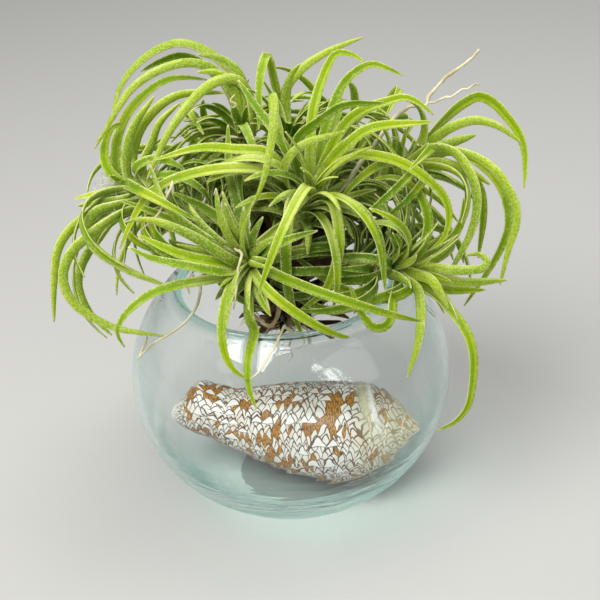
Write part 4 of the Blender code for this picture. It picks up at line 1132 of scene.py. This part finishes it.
def tent_row(g, s, row, width, low, high, seed):
    """A row of tents with their points up: height in rows, place of the tent, share of its half width."""
    wide = g.white(row, seed, 8.3) * (0.4 * width) + 0.8 * width
    shift = row * 0.5 + g.white(row, seed, 3.7) * 0.5
    x = s / wide + shift
    column = g.math("FLOOR", x)
    tall = g.white(column, row, seed + 1.5) * (high - low) + low
    lean = (g.white(column, row, seed + 2.5) - 0.5) * 0.3
    across = g.least(abs(x - column - 0.5 - lean) * 2.0, 1.0)
    top = tall * (1.0 - g.math("POWER", across, 1.35))
    return top, (column - shift) * wide, across


def tent_rows(g, c, height):
    """The row of a place round the shell, and its share of the row's height."""
    y = c / -height
    return g.math("FLOOR", y), g.math("FRACT", y)


def tents(g, s, c, width, height, seed):
    """Rows of tents, each row over the feet of the one above: (line share, place and row of the tent)."""
    row, up = tent_rows(g, c, height)
    lower = row - 1.0
    upper = row + 1.0
    top_lower, place_lower, _ = tent_row(g, s, lower, width, 1.0, 1.9, seed)
    top_own, place_own, _ = tent_row(g, s, row, width, 1.0, 1.9, seed)
    _, place_upper, across_upper = tent_row(g, s, upper, width, 1.0, 1.9, seed)
    gap_lower = top_lower - 1.0 - up
    gap_own = top_own - up
    in_lower = gap_lower > 0.0
    in_own = gap_own > 0.0
    far = abs(gap_lower) * (LINE_SLANT * height)
    far_own = abs(gap_own) * (LINE_SLANT * height) + in_lower * FAR
    far_upper = (1.0 - across_upper) * (width * 0.5) + g.most(in_lower, in_own) * FAR
    nearest_line = g.least(g.least(far, far_own), far_upper)
    place = g.choose(in_lower, g.choose(in_own, place_upper, place_own), place_lower)
    which = g.choose(in_lower, g.choose(in_own, upper, row), lower)
    return g.fade(nearest_line, 0.1, 0.32, 1.0, 0.0), g.math("ROUND", place * 8.0), which


def lone_tents(g, s, c, width, height, seed):
    """Single larger tents: (line share, inside share, random number of the tent)."""
    row, up = tent_rows(g, c, height)
    top, place, _ = tent_row(g, s, row, width, 0.6, 0.98, seed)
    gap = top - up
    inside = gap > 0.0
    nearest_line = g.least(abs(gap) * (LINE_SLANT * height), up * height + (1.0 - inside) * FAR)
    number = g.white(g.math("ROUND", place * 8.0), row, seed + 4.5)
    return g.fade(nearest_line, 0.09, 0.31, 1.0, 0.0), inside, number


def shell_material():
    """White tents with brown outlines in overlapping rows, and amber groups where larger tents float."""
    g = Graph("cone_shell")
    s = g.attribute("axial")
    c = g.attribute("round")
    s2 = s + (g.noise(120.0, 1.0, 0.5) - 0.5) * 4.5
    c2 = c + (g.noise(1.0, 2.0, 0.5, g.combine(s * 0.14, c * 0.1, 7.0)) - 0.5) * 5.0
    fine, place, row = tents(g, s2, c2, 3.0, 1.95, 11.0)
    cell = g.white(place, row, 5.1)
    big, big_in, big_random = lone_tents(g, s2, c2, 4.8, 4.1, 31.0)
    middle = g.fade(s, 9.0, 14.0) * g.fade(s, 66.0, 71.0, 1.0, 0.0)
    there = (big_random > 0.66) * (middle > 0.5)
    big_white = big_in * there
    net = g.choose(big_white, g.most(fine, big * there), big)
    amber_zone = g.noise(1.0, 1.0, 0.5, g.combine(place * 0.013, row * 0.2, 1.0)) > 0.545
    amber_part = g.fade(s, 6.0, 9.0, 0.0, 0.82) * g.fade(s, 70.0, 76.0, 1.0, 0.45)
    amber_only = amber_zone * (cell < amber_part) * (1.0 - big_white)
    streaks = g.noise(1.0, 3.0, 0.65, g.combine(s * 2.6, c * 0.7, 0.0))
    golden = g.mix(g.fade(streaks, 0.44, 0.62), (0.26, 0.075, 0.003), (0.62, 0.33, 0.015))
    tan = g.mix(g.fade(g.noise(150.0, 2.0, 0.5), 0.5, 0.62, 0.0, 0.6), golden, (0.42, 0.23, 0.10))
    amber = g.mix(g.fade(streaks, 0.49, 0.38, 0.0, 0.9), tan, (0.10, 0.028, 0.007))
    shade = g.mix(g.fade(g.noise(140.0, 2.0, 0.5), 0.4, 0.7), (0.72, 0.70, 0.64), (0.68, 0.60, 0.51))
    lilac = g.mix(g.fade(g.noise(45.0, 1.0, 0.4), 0.58, 0.72, 0.0, 0.4), shade, (0.62, 0.57, 0.72))
    white = g.mix(g.fade(cell, 0.5, 0.9, 0.0, 0.7), lilac, (0.76, 0.74, 0.70))
    below = g.fade(g.facing_up(), -0.1, -0.6) * g.fade(cell, 0.2, 0.6, 0.3, 0.8)
    pinkish = g.mix(below, g.mix(big_white, white, (0.79, 0.77, 0.75)), (0.46, 0.29, 0.23))
    bright = g.mix(g.fade(s, 70.0, 76.0, 0.0, 0.25), pinkish, (0.62, 0.58, 0.36))
    dark = g.mix(g.fade(streaks, 0.3, 0.7), (0.045, 0.015, 0.008), (0.14, 0.045, 0.014))
    brown = g.mix(g.fade(s, 70.0, 76.0, 0.0, 0.8), dark, (0.20, 0.12, 0.035))
    netted = g.mix(net * (1.0 - amber_only * 0.6), g.mix(amber_only, bright, amber), brown)
    cream = g.mix(g.fade(s, 76.0, 86.0, 0.0, 0.35), netted, (0.70, 0.60, 0.36))
    opening = g.mix(g.noise(400.0), (0.58, 0.57, 0.33), (0.74, 0.71, 0.52))
    whole = g.mix(g.attribute("inner"), cream, opening)
    lip = g.mix(g.attribute("lip"), whole, (0.86, 0.85, 0.82))
    end = g.mix(g.fade(s, 0.5, 4.0, 0.85, 0.0), lip, (0.80, 0.77, 0.71))
    normal = g.bump(g.math("SINE", c * 5.0) + g.noise(500.0), 0.12, 0.0001)
    return g.finish(end, 0.34, normal, Specular_IOR_Level=0.35, Coat_Weight=0.12, Coat_Roughness=0.15,
                    Subsurface_Weight=0.05, Subsurface_Scale=0.001)


def make_shell(around=200):
    """The same surface in fine steps; its values place the pattern, the suture's inside and its lip."""
    low = np.linspace(0, 68, 86)
    high = np.linspace(68, SHELL_LENGTH / MM, 104)[1:]
    stations_fine = [float(x) for x in np.concatenate([low, high])]
    shell = Surface("axial", "round", "inner", "lip")
    points = shell_points(stations_fine, around)
    for row, x in enumerate(stations_fine):
        ring = points[row * around:(row + 1) * around]
        mean = np.mean([math.hypot(v.y, v.z) for v in ring]) / MM
        for k, point in enumerate(ring):
            turn = k / around
            suture = x - SHELL_SUTURE / MM - SUTURE_RUN / MM * turn
            there = max(0.0, 1 - turn / SUTURE_TURN)
            inner = min(1, there * 1.6) * math.exp(-(suture / 1.9) ** 2)
            lip = min(1, there * 2) * math.exp(-((suture - 2.9) / 1.0) ** 2)
            shell.put(point, x, turn * 2 * math.pi * (mean + 19) / 2, inner, lip)
    shell.close(len(stations_fine), around)
    place = shell_matrix(*settle(shell_points(SHELL_STATIONS, SHELL_SIDES)))
    shell.piece("shell", shell_material(), "shell", "cone_shell", place=place)


# Roots and woody parts

def root_material(name="dry_root", low=(0.54, 0.48, 0.27), high=(0.80, 0.77, 0.56)):
    g = Graph(name)
    grain = g.noise(900.0, 3.0, 0.6)
    colour = g.mix(g.fade(g.noise(120.0, 2.0, 0.5), 0.35, 0.65), low, high)
    dark = g.mix(g.fade(grain, 0.58, 0.78, 0.0, 0.5), colour, (0.32, 0.20, 0.09))
    return g.finish(dark, 0.75, g.bump(grain, 0.5, 0.0002), Specular_IOR_Level=0.2)


def wood_material():
    g = Graph("dry_wood")
    grain = g.noise(500.0, 4.0, 0.65)
    blotch = g.fade(g.noise(90.0, 2.0, 0.5), 0.35, 0.7)
    colour = g.mix(blotch, (0.045, 0.025, 0.014), (0.15, 0.085, 0.045))
    pale = g.mix(g.fade(grain, 0.55, 0.8, 0.0, 0.6), colour, (0.34, 0.23, 0.13))
    return g.finish(pale, 0.85, g.bump(grain, 0.8, 0.0005))


class Tubes(Surface):
    """Slightly knobbly tubes of one piece."""

    def add(self, path, radii, sides, rough=0.18, seed=0.0):
        path = np.array(path)
        _, widths, ups = frames(path, np.array((0.31, 0.2, 0.93)))
        for k, point in enumerate(path):
            t = k / (len(path) - 1)
            radius = radii[0] + (radii[1] - radii[0]) * t
            for i in range(sides):
                angle = 2 * math.pi * i / sides
                bumpy = 1 + rough * noise.noise(Vector(point) * 600 + Vector((seed, i * 0.4, 0)))
                around = widths[k] * math.cos(angle) + ups[k] * math.sin(angle)
                self.put(point + around * radius * bumpy)
        self.close(len(path), sides, True)


def refine(path, count, wander, seed):
    """The same path with more points and a small wander."""
    fine = smooth_path(list(path), count)
    for k in range(1, len(fine)):
        p = Vector(fine[k]) * 160 + Vector((seed, seed * 2, 0))
        fine[k] += np.array(noise.noise_vector(p)) * wander * min(1, k / 8)
    return fine


def kinked(path, count, seed):
    """The same path with the small kinks of a dry twig at its nodes."""
    fine = refine(path, count, 0.5 * MM, seed)
    draw = random.Random(seed)
    nodes = range(0, count + KINK_STEP, KINK_STEP)
    kinks = [[(-1) ** k * draw.uniform(0.1, 0.8) * MM for _ in range(3)] for k, _ in enumerate(nodes)]
    kinks[0] = [0, 0, 0]
    for axis in range(3):
        fine[:, axis] += np.interp(range(count), nodes, [kink[axis] for kink in kinks])
    return fine


def make_roots():
    look = root_material()
    papery = root_material("root_loop", (0.52, 0.36, 0.19), (0.88, 0.77, 0.55))
    paths = root_paths()
    for name, thick, material in (("dry_root_left", 0.85, look), ("dry_root_loop", 1.35, papery)):
        path, radii = paths[name]
        root = Tubes()
        root.add(refine(path, 70, 0.6 * MM, 3.0), [r * thick * MM for r in radii], 10, 0.35)
        root.piece(name + "_fine", material, "dry_root", name)
    stalk = Tubes()
    for name, thick, count, seed in (("dry_stalk", 1, 80, 5.0), ("dry_stalk_branch", 0.8, 40, 9.0)):
        path, radii = paths[name]
        stalk.add(kinked(path, count, seed), [r * thick * MM for r in radii], 10, 0.5)
    stalk.piece("dry_stalk_fine", look, "dry_root", "dry_stalk")
    thin = Tubes()
    for k, route in enumerate(THIN_ROOTS):
        places = [seen(*p) for p in route]
        path = kinked(places, 40, 11 + k) if k in KINKED_ROOTS else refine(places, 40, 0.7 * MM, 11.0 + k)
        thin.add(path, (0.55 * MM, 0.3 * MM), 7, 0.3, k)
    thin.piece("thin_roots", look, "dry_root")


def make_wool():
    """The tuft of white fibres at the left crown."""
    wool = Tubes()
    draw = random.Random(8)
    for k in range(WOOL_FIBRES):
        route = [seen(*WOOL_PLACES[k % 2]) + np.array([draw.gauss(0, 1.5 * MM) for _ in range(3)])]
        for _ in range(4):
            route.append(route[-1] + np.array([draw.gauss(0, 1.4 * MM) for _ in range(3)]))
        wool.add(refine(route, 16, 0.7 * MM, k), (0.10 * MM, 0.06 * MM), 4)
    wool.piece("wool", root_material("wool", (0.62, 0.64, 0.52), (0.82, 0.84, 0.74)), "dry_root")


def stock_point(share, side):
    """A point just under the woody middle's skin, and the way out from it."""
    middle, radius, out = stock_ring(share, side)
    return middle + out * radius * 0.85, out


def make_rootstock():
    """Bark on the woody middle, and the old brown leaf bases and fibres that wrap it."""
    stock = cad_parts["rootstock"]
    stock.data.materials.clear()
    stock.data.materials.append(wood_material())
    draw = random.Random(5)
    bases = Blades()
    up = np.array((0, 0, 1.0))
    for k in range(DEAD_BASES):
        start, out = stock_point(draw.uniform(0.02, 0.95), k * GOLDEN_TURN)
        rise = draw.uniform(-0.25, 0.9)
        length = draw.uniform(8, 17) * MM
        way = unit(out + up * rise)
        bend = up * draw.uniform(-0.4, 0.5) * length
        path = np.array([start, start + way * length * 0.4, start + way * length * 0.8 + bend * 0.3,
                         start + way * length + bend * 0.6])
        if glass_distance(path).min() >= WOOD_ROOM:
            path = smooth_path(list(path), PATH_POINTS)
            bases.add(path, up, 0, draw.random(), draw.uniform(0.8, 1.25), 10, 0.6)
    bases.piece("dead_leaf_bases", dead_leaf_material(), "dry_wood")
    fibres = Tubes()
    for k in range(FIBRES):
        start, out = stock_point(draw.uniform(0.0, 0.6), k * GOLDEN_TURN)
        side = unit(np.array((draw.uniform(-1, 1), draw.uniform(-1, 1), draw.uniform(-0.8, 0.3))))
        reach = draw.uniform(6, 15) * MM
        route = [start, start + unit(out + side * 0.4) * reach * 0.4,
                 start + unit(out + side) * reach * 0.75, start + unit(out + side * 1.4 - up * 0.5) * reach]
        if glass_distance(np.array(route)).min() >= WOOD_ROOM:
            fibres.add(refine(route, 14, 0.8 * MM, k), (0.22 * MM, 0.1 * MM), 5)
    fibres.piece("root_fibres", root_material(), "dry_root")


# Stage

def make_stage():
    mesh = bpy.data.meshes.new("floor")
    corners = [(x * FLOOR_HALF, y * FLOOR_HALF, 0) for x, y in ((-1, -1), (1, -1), (1, 1), (-1, 1))]
    mesh.from_pydata(corners, [], [(0, 1, 2, 3)])
    floor = link("floor", mesh)
    g = Graph("floor")
    mesh.materials.append(g.finish(g.mix(g.noise(3.0), (0.50, 0.50, 0.49), (0.53, 0.53, 0.52)), 0.75))
    world = bpy.data.worlds.new("studio")
    bpy.context.scene.world = world
    world.use_nodes = True
    sky = world.node_tree.nodes["Background"]
    sky.inputs["Color"].default_value = (1.0, 1.0, 1.0, 1)
    sky.inputs["Strength"].default_value = SKY_STRENGTH
    for name, (place, size, power, colour) in LIGHTS.items():
        light = bpy.data.lights.new(name, "AREA")
        light.shape = "SQUARE"
        light.size = size
        light.energy = power
        light.color = colour
        lamp = link(name, light)
        lamp.location = place
        lamp.rotation_euler = (LIGHT_AIM - Vector(place)).to_track_quat("-Z", "Y").to_euler()


def make_camera():
    """The photograph's angle: the same sight lines that the leaf routes use."""
    camera = bpy.data.cameras.new("camera")
    camera.sensor_width = SENSOR
    camera.lens = LENS
    camera.clip_start = 0.01
    item = link("camera", camera)
    back = Vector((0, -math.cos(SIGHT_TILT), math.sin(SIGHT_TILT)))
    up = Vector((0, math.sin(SIGHT_TILT), math.cos(SIGHT_TILT)))
    right = Vector((1, 0, 0))
    rolled_right = right * math.cos(SIGHT_ROLL) - up * math.sin(SIGHT_ROLL)
    rolled_up = right * math.sin(SIGHT_ROLL) + up * math.cos(SIGHT_ROLL)
    matrix = Matrix((rolled_right, rolled_up, back)).transposed().to_4x4()
    matrix.translation = SIGHT_POINT + back * SIGHT_DISTANCE
    item.matrix_world = matrix
    bpy.context.scene.camera = item


# The roots wander by Blender's vector noise, which takes its seed from the clock unless one is set
noise.seed_set(SEED)
make_camera()
make_stage()
make_bowl()
make_shell()
make_rootstock()
make_roots()
make_wool()
make_rosettes(grow())
bpy.context.scene.view_settings.view_transform = "Standard"
